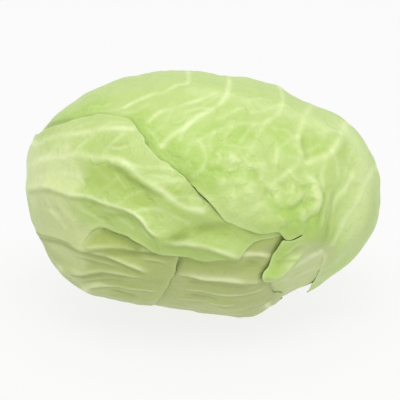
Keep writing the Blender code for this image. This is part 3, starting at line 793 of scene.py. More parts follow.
    def wrap(self, below, above):
        """Lays the cut leaf round the head, over the leaves below it."""
        (points, faces), (low_points, low_faces) = self.skins
        rim = len(self.outline)
        directions = self.round(points)
        inside = -signed_distance(points, self.rough_outline)
        inside[:rim] = 0.0
        bare = np.ones(len(directions))
        painted_margin_shade = np.zeros(len(directions))
        for over in above:
            laid_over = np.minimum(stacking(over, self, directions), 1.0)
            beyond = signed_distance(over.flat(directions), over.rough_outline)
            bare *= 1.0 - laid_over * smooth(1.0 - beyond / BARE_RAMP)
            close = np.exp(-np.maximum(beyond, 0.0) / TUCKED_FADE)
            painted_margin_shade = np.maximum(painted_margin_shade, laid_over * close * (1.0 - over.flush(directions)))
        inner = self.bed(directions, below, inside)
        edge = smooth(1.0 - inside / MARGIN_EASE)
        relief, tints = self.relief(directions, bare, inside)
        # Painted shade just past the margin of a leaf that lies over this one.
        tints["shade"] = np.maximum(tints["shade"], TUCKED_SHADE * painted_margin_shade)
        relief = np.maximum(relief, MARGIN_SPARED * edge - DEEPEST_DENT)
        outer = inner + BLADE - (BLADE - MARGIN_BLADE) * edge + relief
        low_directions = self.round(low_points)
        low_inside = -signed_distance(low_points, self.rough_outline)
        low_inside[:rim] = 0.0
        low_inner = self.bed(low_directions, below, low_inside)
        low_inner[:rim] = inner[:rim]
        brim = self.round(self.outline + MARGIN_ROUND * self.outward())
        spots = np.vstack([place(directions, outer),
                           place(brim, 0.5 * (outer[:rim] + inner[:rim])),
                           place(low_directions, low_inner)])
        middle, bottom = len(points), len(points) + rim
        ring = np.arange(rim)
        after = np.roll(ring, -1)
        quads = np.vstack([
            np.stack([after, ring, middle + ring, middle + after], axis=1),
            np.stack([middle + after, middle + ring, bottom + ring, bottom + after], axis=1)])
        shell = faces.tolist() + (low_faces[:, ::-1] + bottom).tolist() + quads.tolist()
        spots[:, 2] = np.maximum(spots[:, 2], 0.0)
        mesh = self.piece.data
        mesh.from_pydata(spots.tolist(), [], shell)
        mesh.shade_smooth()
        for kind, values in tints.items():
            whole = np.zeros(len(spots))
            whole[:len(values)] = np.clip(values, 0.0, 1.0)
            whole[middle:middle + rim] = whole[:rim]
            mesh.attributes.new(kind, "FLOAT", "POINT").data.foreach_set("value", whole)
        mesh.update()


def stacking(leaf, under, directions):
    """The share of a lower leaf that an upper one rides over.

    The top leaf lies under the left leaf at the upper left, and over it at the lower right.
    """
    if {leaf.name, under.name} != {"leaf_top", "leaf_left"}:
        return np.ones(len(directions))
    places = directions * head_radius(directions)[:, None]
    start, end = SWAP_LINE
    top_share = smooth(((places[:, 0] - places[:, 1]) / math.sqrt(2) - start) / (end - start))
    return top_share if leaf.name == "leaf_top" else SWAP_ROOM * (1.0 - top_share)


def leaf_finish(name, green, deep_green, pale, vein, shaded):
    """Waxy leaf skin: greener patches, pale veins, fine netting between them, bloom, and painted
    highlights and painted shade.
    """
    skin = Finish(name, SKIN_ROUGHNESS)
    tint = {kind: skin.node("Attribute", {"attribute_name": kind}, out="Fac") for kind in TINTS}
    drift = skin.clouds(DRIFT_SIZE, 3.0)
    mottle = skin.clouds(MOTTLE_SIZE, 5.0)
    crumple = skin.ease(abs(skin.clouds(CRUMPLE_SIZE, 4.0) - 0.5), 0.0, 0.10)
    warp = skin.node("TexNoise", None,
                     {"Vector": skin.where, "Scale": NET_WARP_SCALE, "Detail": 3.0}, out="Color")
    bent = skin.node("VectorMath", {"operation": "MULTIPLY_ADD"},
                     {0: warp, 1: (NET_WARP, NET_WARP, NET_WARP), 2: skin.where})
    nets = []
    for size, thin in NETS:
        cells = skin.node("TexVoronoi", {"feature": "DISTANCE_TO_EDGE"},
                          {"Vector": bent, "Scale": 1.0 / (size * MM)})
        nets.append(1.0 - skin.ease(cells, 0.0, thin))
    netting = nets[0] * skin.ease(drift, 0.35, 0.65) * 0.7 + nets[1] * 0.4
    large, small = (skin.ease(abs(skin.clouds(size, 1.2) - 0.5), 0.0, flat) * share
                    for size, flat, share in PLATES)
    plates = large + small
    # Painted highlight and shade that follow the bump: rumpled plates are paler where raised and
    # greener where low, and the crumple creases greener.
    rumple = tint["rumple"] * (plates - 0.5)
    deep_green_share = tint["deep_green"] + (drift - 0.5) * 1.1 + (1.0 - crumple) * 0.25 - rumple * 0.9
    tissue = skin.mix(skin.ease(deep_green_share, 0.0, 1.0), green, deep_green)
    pale_share = tint["pale"] + (mottle - 0.5) * 0.5 + rumple * 0.4
    tissue = skin.mix(skin.ease(pale_share, 0.0, 1.0), tissue, pale)
    tissue = skin.mix(skin.ease(tint["dull"] + (mottle - 0.5) * 0.3, 0.0, 1.0), tissue, DULL_GREEN)
    tissue = skin.mix(netting * NET_PALE, tissue, vein)
    tissue = skin.mix(tint["vein"] * (0.7 + 0.6 * mottle), tissue, vein)
    tissue = skin.mix(tint["margin"] * MARGIN_PALE, tissue, vein)
    # Painted shade: the shade tint darkens the skin towards the shaded green in creases, at the feet of
    # folds, in hollows and just past the margins of leaves that lie over it.
    tissue = skin.mix(tint["shade"] * SHADE_STRENGTH, tissue, shaded)
    skin.colour(tissue)
    skin.feed(skin.surface.inputs["Roughness"],
              SKIN_ROUGHNESS + (mottle - 0.5) * ROUGHNESS_SPREAD)
    height = netting * 0.25 + mottle * 0.45 + crumple * 0.55 + rumple * 1.5
    skin.raise_by(height, *SKIN_BUMP)
    return skin


upper_left = Leaf(
    "leaf_upper_left", 2.2, front((-60, 62)),
    joined(
        back((-57, 28), (-42, 38), (-22, 37), (-10, 55), (0, 72)),
        front(
            (6, 78), (14, 60), (22, 40), (25, 20), (12, 0), (-12, -8), (-42, -4), (-76, 0), (-106, 4)),
        back((-112, 6), (-92, 8), (-70, 14))),
    joined(back((-48, 34), (-60, 55), (-66, 70)), front((-64, 74), (-52, 55), (-38, 35), (-22, 15))))
upper_left.side_veins((0.08, 0.2, 0.34, 0.5, 0.66), (60.0, 75.0, 70.0))
upper_left.cut(
    leaf_finish(
        "upper_left_green", (0.53, 0.68, 0.2, 1), (0.43, 0.62, 0.13, 1), (0.66, 0.76, 0.33, 1),
        (0.74, 0.83, 0.44, 1), (0.3, 0.4, 0.08, 1)))

# Under leaf. A short inner leaf on the side that the head lies on, greyer green.
under_leaf = Leaf(
    "leaf_under", 2.2, back((-20, -70)),
    joined(
        back((-57, 8), (-42, 0), (-24, 4), (-6, -15), (10, -45), (24, -68)),
        front((32, -74), (28, -52), (5, -36), (-25, -30), (-50, -44), (-66, -62)),
        back((-74, -54), (-72, -26), (-64, -4))),
    joined(back((-42, 2), (-35, -25), (-28, -55)), front((-25, -74), (-22, -58), (-15, -42))))
under_leaf.side_veins((0.1, 0.24, 0.4, 0.58), (45.0, 60.0, 55.0))
under_leaf.cut(
    leaf_finish(
        "under_green", (0.46, 0.54, 0.2, 1), (0.4, 0.52, 0.14, 1), (0.57, 0.63, 0.31, 1),
        (0.66, 0.71, 0.4, 1), (0.28, 0.34, 0.09, 1)))

# Right leaf. A broad inner leaf that wraps the right end and much of the back. It shows at
# the lower right, pale and greyish, between the tongue and the torn strip of the top leaf.
right_leaf = Leaf(
    "leaf_right", 1.25, back((105, 5)),
    joined(
        back((-25, 38), (-19, 20), (-26, 3), (-12, -18), (5, -42), (18, -64)),
        front((24, -78), (29, -60), (28, -28), (34, 4), (48, 30), (70, 46), (88, 52)),
        back((88, 52), (66, 60), (32, 56), (2, 46))),
    joined(
        back((-20, 18), (10, 8), (50, 0), (90, -4)), front((108, -8), (88, -10), (62, -8), (40, -8))))
right_leaf.veins(
    1.2, 3.0, 0.8,
    joined(
        back((-18, 12), (20, -14), (60, -34), (84, -44)),
        front((92, -38), (84, -41), (78, -44), (72, -48), (60, -54))),
    back((-20, 6), (10, -26), (34, -54), (46, -68)), back((-16, 24), (20, 34), (62, 36), (96, 34)))
right_leaf.veins(
    0.5, 1.6, 0.6, front((86, -52), (76, -55), (66, -59), (58, -62)),
    front((80, -44), (73, -40), (66, -37)))
right_leaf.side_veins((0.12, 0.24, 0.38, 0.52), (60.0, 75.0, 70.0))
right_leaf.tint(("pale", 0.35, 12.0, (84, -46), (64, -57)))
right_leaf.creases(0.4, 1.5, 0.5, front((60, -63), (66, -58), (74, -54)))
right_leaf.cut(
    leaf_finish(
        "right_green", (0.5, 0.58, 0.24, 1), (0.43, 0.56, 0.16, 1), (0.58, 0.65, 0.34, 1),
        (0.68, 0.74, 0.44, 1), (0.32, 0.4, 0.1, 1)))

# Lower right leaf. It lies under the left leaf, along the bottom, and carries the head's
# weight. Its folds run level: painted highlights on the ridges, painted shade in the hollows.
lower_right = Leaf(
    "leaf_lower_right", 1.1, front((20, -74)),
    joined(
        back((-50, 2), (-38, -1), (-26, 4)), back((-14, -4), (6, -22), (28, -44), (46, -62)),
        front(
            (55, -72), (51, -69), (46, -64), (45, -60), (51, -52), (60, -42), (62, -24), (46, -12),
            (20, -14), (-5, -20), (-25, -29), (-36, -45), (-42, -64)),
        back((-50, -60), (-50, -40), (-47, -16))),
    joined(back((-36, 2), (-18, -22), (0, -48), (8, -66)), front((12, -84))))
lower_right.veins(
    1.0, 2.8, 0.6, joined(back((-24, -14), (12, -38), (36, -62)), front((44, -76))),
    joined(back((-34, -8), (-34, -40), (-30, -64)), front((-26, -78))))
lower_right.side_veins((0.12, 0.26, 0.4), (50.0, 60.0, 55.0))
lower_right.folds(
    1.5, 4.5, 0.5, 0.75,
    front((42, -58), (30, -58.5), (20, -58), (12, -58), (0, -57), (-10, -55), (-20, -54))[::-1])
lower_right.folds(
    0.9, 3.0, 0.5, 0.6, front((24, -40), (32, -41), (38, -42), (48, -44)),
    front((-16, -66), (-4, -67.5), (10, -69), (28, -68), (44, -64)),
    front((-20, -72), (-4, -74), (8, -76), (24, -75)))
lower_right.creases(0.6, 3.2, 0.6, front((-14, -60.5), (2, -62), (18, -62.5), (34, -62)))
lower_right.creases(
    0.5, 1.8, 0.7, front((44, -60), (47, -64), (49, -68), (52, -71)),
    front((26, -45), (34, -47), (42, -48)), front((-14, -70), (0, -71.5), (14, -72.5)))
lower_right.tint(
    # Painted shade: the deeper green and shade bands just under the left leaf's margin.
    ("deep_green", 0.6, 5.0, (-12, -48), (6, -49), (26, -48), (38, -47)),
    ("shade", 0.25, 3.5, (-10, -49), (6, -50.5), (26, -50), (38, -50)),
    # Painted highlights along the ridges of the folds.
    ("pale", 0.7, 2.4, (27, -40), (34, -41.5), (41, -42.5), (46, -43)),
    ("vein", 1.0, 1.7, (26, -40), (32, -41.5), (38, -42), (46, -43.5)),
    ("vein", 0.7, 1.8, (-8, -55.5), (4, -57), (20, -57.5), (38, -58)),
    ("deep_green", 0.9, 3.5, (34, -35), (42, -34), (50, -31)),
    ("shade", 0.9, 2.0, (-15.5, -44), (-16, -47), (-17, -50)),
    ("shade", 0.4, 2.0, (-12, -45), (0, -48.5), (10, -48), (22, -46)),
    # Painted highlight along the lower fold's ridge.
    ("pale", 0.4, 3.0, (-10, -54), (6, -55.5), (26, -55)),
    ("pale", 0.35, 7.0, (0, -79), (24, -79)))
lower_right.cut(
    leaf_finish(
        "lower_right_green", (0.4, 0.46, 0.16, 1), (0.4, 0.5, 0.12, 1), (0.54, 0.59, 0.27, 1),
        (0.66, 0.71, 0.37, 1), (0.25, 0.31, 0.07, 1)))

# Lower left leaf. A thick leaf across the lower left, with a crisp margin on its right and
# level folds where it was pressed in the crate.
lower_left = Leaf(
    "leaf_lower_left", 0.95, front((-78, -52)),
    joined(
        back((-58, 32), (-56, 14), (-47, 1), (-46, -18), (-44, -44), (-38, -66)),
        front(
            (-35, -76), (-30, -72), (-26, -66), (-24, -63), (-22.5, -59), (-20.5, -56), (-19, -53),
            (-18.5, -49), (-17.5, -45), (-16, -40), (-14, -32), (-32, -22), (-56, -8), (-80, 6),
            (-100, 14)),
        back((-113, 12), (-92, 22), (-72, 30))),
    joined(
        back((-56, 12), (-76, -4), (-96, -18)),
        front((-112, -27), (-96, -32), (-80, -38), (-60, -43), (-47, -47), (-35, -53))),
    waved=False)
lower_left.veins(
    1.0, 2.8, 0.6, joined(back((-58, 4), (-74, -26), (-88, -46)), front((-98, -52), (-84, -55))),
    joined(back((-54, -4), (-62, -34), (-72, -58)), front((-78, -64), (-66, -63.5))))
lower_left.side_veins((0.1, 0.22, 0.34), (40.0, 50.0, 45.0))
lower_left.folds(
    1.8, 4.0, 0.8, 1.0,
    front(
        (-116, -26), (-108, -28), (-102, -29.5), (-96, -31.5), (-87, -36), (-80, -38), (-66, -41),
        (-60, -43), (-53, -45), (-47, -47), (-41, -49), (-34, -53)))
lower_left.folds(
    1.3, 3.6, 0.7, 0.85,
    front(
        (-102, -50), (-97, -52), (-92, -54), (-87, -55.5), (-79, -54), (-70, -52.5), (-60, -53),
        (-50, -54), (-38, -55)),
    front((-84, -65), (-76, -64), (-68, -63.5), (-58, -63), (-50, -64), (-42, -65), (-30, -66.5)))
lower_left.folds(
    1.3, 3.2, 0.8, 0.6, front((-84, -37), (-72, -36), (-60, -36), (-50, -37), (-40, -38), (-26, -40)))
lower_left.folds(
    0.7, 2.4, 0.5, 0.4, front((-92, -42), (-80, -45), (-68, -47), (-56, -49)),
    front((-88, -60), (-76, -59), (-62, -58), (-48, -59)), front((-66, -70), (-52, -70.5), (-40, -71)),
    front((-44, -43), (-32, -45), (-22, -48)))
lower_left.creases(
    0.6, 2.0, 0.8, front((-68, -66), (-58, -67.5), (-50, -69), (-44, -71)),
    front((-74, -39.5), (-66, -40), (-55, -40.5), (-46, -40.5), (-36, -40.5)))
lower_left.lifts = [(1.6, 5.0, front((-15.5, -38), (-17, -44), (-18.5, -49)))]
lower_left.tint(
    ("shade", 0.2, 4.0, (-78, -30), (-62, -32), (-50, -35)),
    ("deep_green", 0.9, 5.0, (-80, -30), (-68, -31), (-56, -33)),
    ("shade", 0.3, 4.0, (-82, -58), (-70, -57), (-56, -57)),
    ("shade", 0.3, 4.0, (-40, -58), (-30, -60)),
    ("pale", 0.8, 9.0, (-104, -36), (-94, -44), (-86, -48)),
    ("dull", 0.9, 5.0, (-84, -38), (-82, -30), (-79, -23)),
    ("shade", 0.9, 2.4, (-70, -26), (-62, -29), (-52, -32.5), (-44, -36)),
    ("shade", 0.5, 2.0, (-44, -36), (-36, -40), (-28, -43), (-20, -44)),
    ("pale", 0.4, 6.0, (-100, -54), (-86, -62), (-70, -67)))
lower_left.cut(
    leaf_finish(
        "lower_left_green", (0.39, 0.46, 0.14, 1), (0.38, 0.47, 0.11, 1), (0.53, 0.6, 0.26, 1),
        (0.63, 0.7, 0.33, 1), (0.24, 0.31, 0.06, 1)))

# Left leaf. The big outer leaf of the left side, pale towards the stalk. Its midrib runs in
# from the left end, and its upper margin lies on the top leaf.
left_leaf = Leaf(
    "leaf_left", 0.8, front((-98, 8)),
    joined(
        back((-54, 36), (-58, 20), (-54, 6), (-66, -10), (-86, -24), (-104, -30)),
        front(
            (-116, -25), (-108, -28), (-102, -29.5), (-96, -31.5), (-91, -34), (-87, -36.5), (-84, -36),
            (-82, -31.5), (-79, -27), (-75, -24.5), (-70, -24.5), (-65, -26), (-58, -28), (-52, -30),
            (-48, -32), (-42, -34), (-38, -36), (-34, -39), (-28, -41), (-18, -42), (-10, -43),
            (-5, -45), (0, -46.5), (5, -46.5), (10, -45.5), (17, -44.5), (22, -44), (25, -41.5),
            (27, -39), (31, -36), (36, -33), (42, -31.5), (48, -30.5), (54, -28), (50, -20), (32, -18),
            (18, -12.5), (6, -8), (-2.8, 0), (-8, 4.8), (-13, 11), (-16, 13.5), (-19, 16), (-22, 18),
            (-24, 20.5), (-29.5, 23), (-33, 26.5), (-37, 31), (-40, 34.5), (-40.5, 38), (-44, 42),
            (-46.5, 46), (-50, 50), (-54, 51.7), (-60, 52.8), (-67, 53.7), (-72, 54), (-77, 52.7),
            (-83, 52), (-88, 50), (-93, 47.5), (-100, 45.5), (-107, 43), (-112, 40)),
        back((-106, 41), (-90, 49), (-66, 50))),
    joined(
        back((-57, 20), (-84, 12), (-106, 4)),
        front(
            (-118, 3.5), (-107, 5), (-98, 3.3), (-88, -0.5), (-78, -1.5), (-67, -5), (-56, -8.5),
            (-45, -13), (-38, -19), (-33, -25), (-26, -28))),
    waved=False)
left_leaf.veins(
    0.8, 2.1, 0.6,
    joined(
        back((-64, 22), (-90, 22), (-110, 18)),
        front(
            (-117, 19), (-111, 22), (-103, 24.5), (-90, 25), (-84, 25.8), (-70, 23.5), (-62, 23),
            (-53, 21.5), (-44, 14), (-38, 9), (-27, 2), (-15, -8), (0, -12))),
    joined(
        back((-60, 28), (-82, 38), (-104, 36)),
        front((-112, 33), (-107, 36), (-100, 38.5), (-89, 40), (-78, 42), (-62, 44), (-48, 44))))
left_leaf.veins(
    0.35, 1.5, 0.36, front((-52, 20), (-38, 17), (-30, 18), (-20, 17)),
    front((-42, 13), (-28, 11), (-14, 9)), front((-92, -1), (-84, -9), (-79, -13), (-70, -20)),
    front((-56, -8), (-50, -2), (-40, 2), (-28, 2)), front((-66, 24), (-62, 33), (-54, 40)),
    front((-84, 26), (-80, 34), (-74, 40)), front((-46, -12), (-34, -10), (-22, -14), (-10, -20)),
    front((-98, 4), (-95, 12), (-88, 19)), front((-106, -3), (-102, -13), (-95, -22)),
    front((-96, -8), (-90, -18), (-86, -28)), front((-64, -6), (-58, -16), (-48, -24)),
    front((-112, 10), (-104, 13), (-94, 14), (-84, 12)))
left_leaf.veins(
    0.25, 1.2, 0.24, front((-74, 24), (-70, 16), (-64, 10)), front((-60, 21), (-58, 12), (-52, 4)),
    front((-70, -3), (-66, 4), (-58, 10)), front((-104, 24), (-100, 30), (-94, 36)),
    front((-34, 6), (-26, 8), (-18, 8)), front((-20, -3), (-10, -2), (0, -4)),
    front((-110, -10), (-103, -12), (-96, -17)), front((-88, 17), (-87, 11), (-84, 6)),
    front((-84, 17), (-83, 11), (-80, 6)), front((-8, -10), (4, -10), (14, -14)),
    front((-50, -11), (-44, -20), (-36, -28)), front((-92, 40), (-86, 45), (-76, 48)),
    front((-70, 43), (-62, 48), (-52, 48)))
left_leaf.folds(
    1.3, 3.2, 0.5, 0.9,
    front(
        (-119, 3), (-107, 5), (-103, 4.5), (-98, 3.3), (-92, 1), (-88, -0.5), (-78, -1.5), (-72, -3),
        (-67, -5), (-62, -7), (-56, -8.5), (-50, -10.5), (-45, -13), (-41, -16), (-38, -19), (-36, -22),
        (-33, -25), (-24, -29)))
left_leaf.folds(
    1.4, 4.5, 0.45, 0.75,
    front(
        (-28, -30), (-18, -32), (-12, -32), (-6, -33), (0, -34), (6, -36), (12, -38), (17, -40),
        (26, -42)))
left_leaf.folds(
    1.0, 4.0, 0.5, 0.3, front((-64, 20), (-57, 19), (-50, 15), (-45, 10.5), (-38, 6), (-28, 1)),
    front((-70, -10), (-60, -11.5), (-50, -12), (-40, -19), (-34, -26)),
    front((-84, -30), (-78, -24), (-70, -22.5), (-58, -26)))
left_leaf.folds(
    0.7, 3.0, 0.3, 0.3, front((6, -8), (16, -16), (30, -22), (44, -25)),
    front((-46, 34), (-56, 30), (-68, 32)))
left_leaf.creases(0.9, 2.6, 1.0, front((-26, -27.5), (-20, -28.5), (-14, -28.5), (-6, -26)))
left_leaf.creases(0.5, 3.0, 0.55, front((-8, -26), (2, -23), (10, -22), (24, -21)))
left_leaf.creases(
    0.4, 1.2, 0.6, front((-73.5, 1), (-69, -2), (-64, -5.5)), front((-107, 2.5), (-101, 2), (-95, 0)),
    front((-80, -4.5), (-72, -7), (-64, -10)))
left_leaf.creases(0.5, 0.9, 0.7, front((-69, 24.6), (-67, 24), (-65, 23)))
# Small blisters with painted highlights.
left_leaf.dots(0.5, 3.0, 0.5, front((-92, 30), (-98, -7), (-103, -12), (-96, -17), (-88, -21)))
left_leaf.sunk = [(11.0, front((-84, -37), (-82, -30), (-78, -24), (-72, -24)))]
left_leaf.lifts = [(1.6, 5.0, front((-113, 40), (-107, 43), (-100, 45.5), (-92, 48)))]
left_leaf.tint(
    # Painted shade in the hollow below the second vein: the deeper green and shade patches.
    ("deep_green", 1.1, 9.0, (-72, 10), (-60, 12), (-50, 3), (-42, -6)),
    ("shade", 0.12, 7.0, (-72, 8), (-60, 8), (-50, -1)),
    ("shade", 0.3, 6.0, (-14, -25), (0, -25), (16, -24), (30, -24), (42, -26)),
    ("shade", 0.2, 6.0, (-30, -14), (-18, -16), (-6, -20)),
    ("pale", 0.5, 9.0, (-108, -8), (-102, -16), (-96, -22)),
    ("shade", 0.45, 1.8, (-62, 18.5), (-52, 15), (-45, 9), (-38, 4), (-28, -2)),
    ("deep_green", 0.5, 8.0, (-74, -15), (-56, -20), (-36, -34), (-10, -40), (8, -43)),
    ("deep_green", 0.4, 12.0, (-18, 4), (0, -22), (30, -28)),
    ("pale", 0.45, 18.0, (-114, 26), (-98, 14), (-94, 38)),
    ("pale", 0.3, 8.0, (-72, 44), (-56, 45), (-46, 34)),
    ("pale", 0.35, 1.6, (-60, 22), (-50, 18), (-40, 10.5), (-28, 2.5)),
    ("rumple", 0.45, 11.0, (-98, 14), (-80, 8), (-66, 2)),
    ("rumple", 0.45, 11.0, (-100, -12), (-84, -16)),
    ("rumple", 0.35, 12.0, (-50, -20), (-20, -16), (10, -30)),
    ("dull", 0.75, 12.0, (-110, -9), (-98, -16), (-90, -28)),
    ("pale", 0.4, 9.0, (-116, -6), (-106, -14), (-94, -14)),
    ("dull", 0.7, 7.0, (-112, -20), (-96, -27), (-82, -30)),
    ("pale", 0.9, 13.0, (-120, 16), (-110, 10), (-98, 12)),
    ("pale", 0.5, 8.0, (-88, 14), (-86, 4)))
left_leaf.cut(
    leaf_finish(
        "left_green", (0.435, 0.57, 0.17, 1), (0.385, 0.53, 0.11, 1), (0.59, 0.69, 0.3, 1),
        (0.71, 0.8, 0.41, 1), (0.26, 0.36, 0.06, 1)))

# Top leaf. The largest outer leaf, over the whole top and right. Its veins run in from the
# upper right to a puckered middle. The margin has a notch, a rolled tongue and a torn strip.
top_leaf = Leaf(
    "leaf_top", 1.15, front((55, 62)),
    joined(
        front(
            (-8, 5.5), (-3, 1), (3, -4.5), (8, -10), (12, -15), (15, -18.5), (20, -20.5), (25, -23),
            (30, -24.5), (36, -26.5), (42, -27), (47, -26), (51, -26), (53.5, -28.5), (56, -31),
            (60, -30.9), (66, -28), (67.5, -28.4), (61.5, -31.6), (57, -32.1), (53.8, -31.9), (52, -35),
            (50, -39), (48, -42), (46.5, -46), (44, -50), (40, -53), (39, -56), (42, -58.5),
            (46, -59.7), (52, -59), (56, -56), (60, -52), (64, -48), (68, -44.5), (73, -43),
            (79, -41.5), (84, -41.5), (85.5, -45), (84.5, -50), (82.5, -55), (80, -59.5), (77, -63.5)),
        edge_on((72.5, -68.5), (75.5, -65.5), (79, -61.5), (83, -56.5), (87, -51)),
        back(
            (88, -46), (62, -33), (22, -12), (-8, 4), (-22, 14), (-20, 28), (-30, 38), (-46, 40),
            (-66, 42), (-88, 38), (-108, 30)),
        front((-114, 29), (-84, 30), (-63, 26), (-43, 15), (-22, 5))),
    joined(
        back((-26, 32), (0, 50), (30, 66)),
        front(
            (56, 68), (53, 56), (48, 53.5), (43, 50), (36, 49.5), (28, 49.5), (20, 47.5), (14, 45.5),
            (8, 43), (-3, 37.5), (-9, 35), (-11, 28), (-17, 21))),
    waved=False)
top_leaf.veins(
    0.7, 2.1, 0.44,
    joined(
        back((-22, 44), (0, 62), (14, 76)),
        front(
            (18, 76), (14, 65), (8, 60), (1, 56), (-4, 53), (-10, 49), (-18, 43), (-23, 40),
            (-29, 33))),
    joined(
        back((-16, 32), (40, 44), (92, 44)),
        front((100, 50), (97, 44), (94, 38), (90, 32), (87, 28), (82, 25), (72, 21.5))),
    joined(
        back((-14, 24), (50, 20), (104, 16)),
        front(
            (118, 18), (116, 14), (113, 9), (110, 3), (107, -3), (104, -9), (99, -16), (95, -25),
            (90, -35))))
top_leaf.veins(
    0.45, 1.9, 0.32,
    joined(
        back((-8, 42), (40, 58), (70, 58)),
        front(
            (76, 62), (71, 54), (69, 48), (67, 43), (65, 38), (65, 32), (67.5, 27), (65, 19), (60, 16),
            (54, 11), (45, 6))))
top_leaf.veins(
    0.6, 1.9, 0.4,
    joined(
        back((-30, 44), (-26, 62), (-12, 78)),
        front((-10, 79), (-18, 76), (-27, 71), (-33, 70), (-42, 66), (-54, 60))),
    front((8, 70), (-5, 65), (-14, 62), (-22, 59), (-30, 57), (-38, 50)),
    front((104, 14), (101, 8), (97, 2), (92, -3), (87, -10), (86, -20)))
top_leaf.veins(
    0.35, 1.6, 0.36, front((46, 52), (44, 49), (40, 44), (37, 38), (34, 32), (28, 24)),
    front((-3, 37), (-1, 34), (1, 29), (1.5, 22), (-1, 17), (-7, 12)),
    front((84, 25), (83, 20), (81, 12), (82, 3)), front((-22, 57), (-25, 52), (-29, 47), (-35, 42)),
    front((-50, 62), (-60, 58), (-70, 57), (-80, 56)), front((6, 59), (-2, 60), (-12, 57)),
    front((20, 47), (16, 40), (15, 34)), front((-10, 49), (-14, 44), (-16, 38)),
    front((30, 62), (22, 58), (10, 52)), front((60, 62), (54, 63), (44, 60), (34, 58)),
    front((66, 40), (58, 36), (52, 30), (50, 22)), front((88, 29), (92, 22), (93, 12)),
    front((112, 7), (106, 10), (98, 18)), front((96, 42), (88, 44), (80, 42)))
top_leaf.veins(
    0.25, 1.3, 0.24, front((51, 36), (51, 30), (51, 22)), front((90, -6), (89.5, -12), (88, -20)),
    front((-64, 62), (-70, 60), (-78, 60)), front((-38, 62), (-46, 57), (-56, 56)),
    front((8, 43), (4, 36), (6, 30)), front((36, 49), (30, 42), (26, 36)),
    front((70, 50), (78, 46), (84, 40)), front((104, 30), (100, 22), (98, 12)),
    front((20, 70), (10, 68), (0, 62)), front((68, 28), (74, 30), (80, 34)),
    front((60, 16), (64, 8), (66, 0)), front((102, -12), (96, -12), (92, -16)),
    front((0, 56), (-8, 54), (-18, 50)), front((34, 32), (26, 32), (18, 34)),
    front((-40, 46), (-34, 40), (-30, 34)), front((72, 21), (66, 24), (60, 26)),
    front((64, 38), (58, 44), (50, 46)), front((50, 66), (40, 68), (28, 66)))
top_leaf.veins(
    0.7, 2.2, 0.4, back((-34, 38), (-50, 50), (-72, 58), (-90, 56)),
    back((-32, 40), (-40, 58), (-52, 74)), back((-38, 38), (-62, 44), (-96, 42)))
top_leaf.veins(
    0.4, 1.6, 0.3, back((-56, 53), (-62, 62), (-72, 66)), back((-64, 56), (-78, 50)),
    back((-40, 58), (-34, 70), (-34, 80)), back((-60, 44), (-76, 50), (-88, 48)),
    back((-46, 66), (-58, 68)), back((-52, 42), (-60, 40), (-72, 40)))
top_leaf.side_veins((0.06, 0.14, 0.22, 0.3), (60.0, 75.0, 85.0))
top_leaf.folds(
    0.9, 3.5, 0.45, 0.3, front((68, 44), (66.5, 38), (66.5, 32), (69, 26), (69, 20))[::-1],
    front((86, 6), (84, -4), (80, -16), (78, -28)), front((94, 2), (90, -10), (88, -24), (86, -36)))
top_leaf.folds(0.8, 2.6, 0.4, 0.55, front((46, -45), (52, -44.5), (58, -43), (63, -42), (70, -40)))
top_leaf.folds(
    1.8, 2.8, 0.4, 0.6, front((40, -53), (45, -55), (50, -54), (56, -49), (62, -43.5), (68, -38)))
top_leaf.folds(
    0.7, 2.4, 0.5, 0.5, front((67, -31), (62, -36), (56, -40), (52, -43)),
    front((84, -38), (86, -46), (83, -54)))
top_leaf.creases(
    0.8, 2.0, 0.6, front((46, -48), (50, -47.5), (55, -43), (60, -38.5)),
    front((55, -39.5), (60, -38.5), (65, -36.5), (70, -36)))
top_leaf.creases(
    0.5, 2.0, 0.6, front((-14, 36), (-11, 37.5), (-8, 36)), front((3, 30), (5, 28), (6, 25)))
top_leaf.creases(
    0.4, 2.2, 0.45, front((18, 17), (22, 14), (26, 13)), front((30, 12), (35, 10.5), (40, 12)),
    front((40, 1), (44, 0), (50, 3)), front((46, 7), (50, 6), (56, 7), (60, 10)),
    front((62, 13), (68, 15), (72, 13)), front((24, 3), (30, -2), (36, -4)),
    front((8, 20), (12, 14), (16, 12)), front((52, -8), (58, -10), (64, -8)))
# Blisters with painted highlights on them, and dents with painted shade.
top_leaf.dots(
    0.9, 4.0, 0.4,
    front(
        (12, 28), (19, 25), (29, 21), (12, 7), (30, 5), (29, -2), (60, 2), (66, -14), (40, 20), (22, 8),
        (38, -8), (48, -3), (20, -3)))
top_leaf.dots(1.1, 3.4, 0.8, front((74, 10), (76, 4), (77.5, -2), (76.5, -7)))
top_leaf.dots(-0.7, 3.2, -0.3, front((44, 0), (33, 12), (22, 15), (48, 6), (68, 15), (56, 8), (70, -4)))
# Puckered skin, with painted highlights on its cells and painted shade in its creases.
top_leaf.pucker = [(1.3, 15.0, 16.0, soft_path(front((16, 22), (32, 12), (46, 2), (60, -8))))]
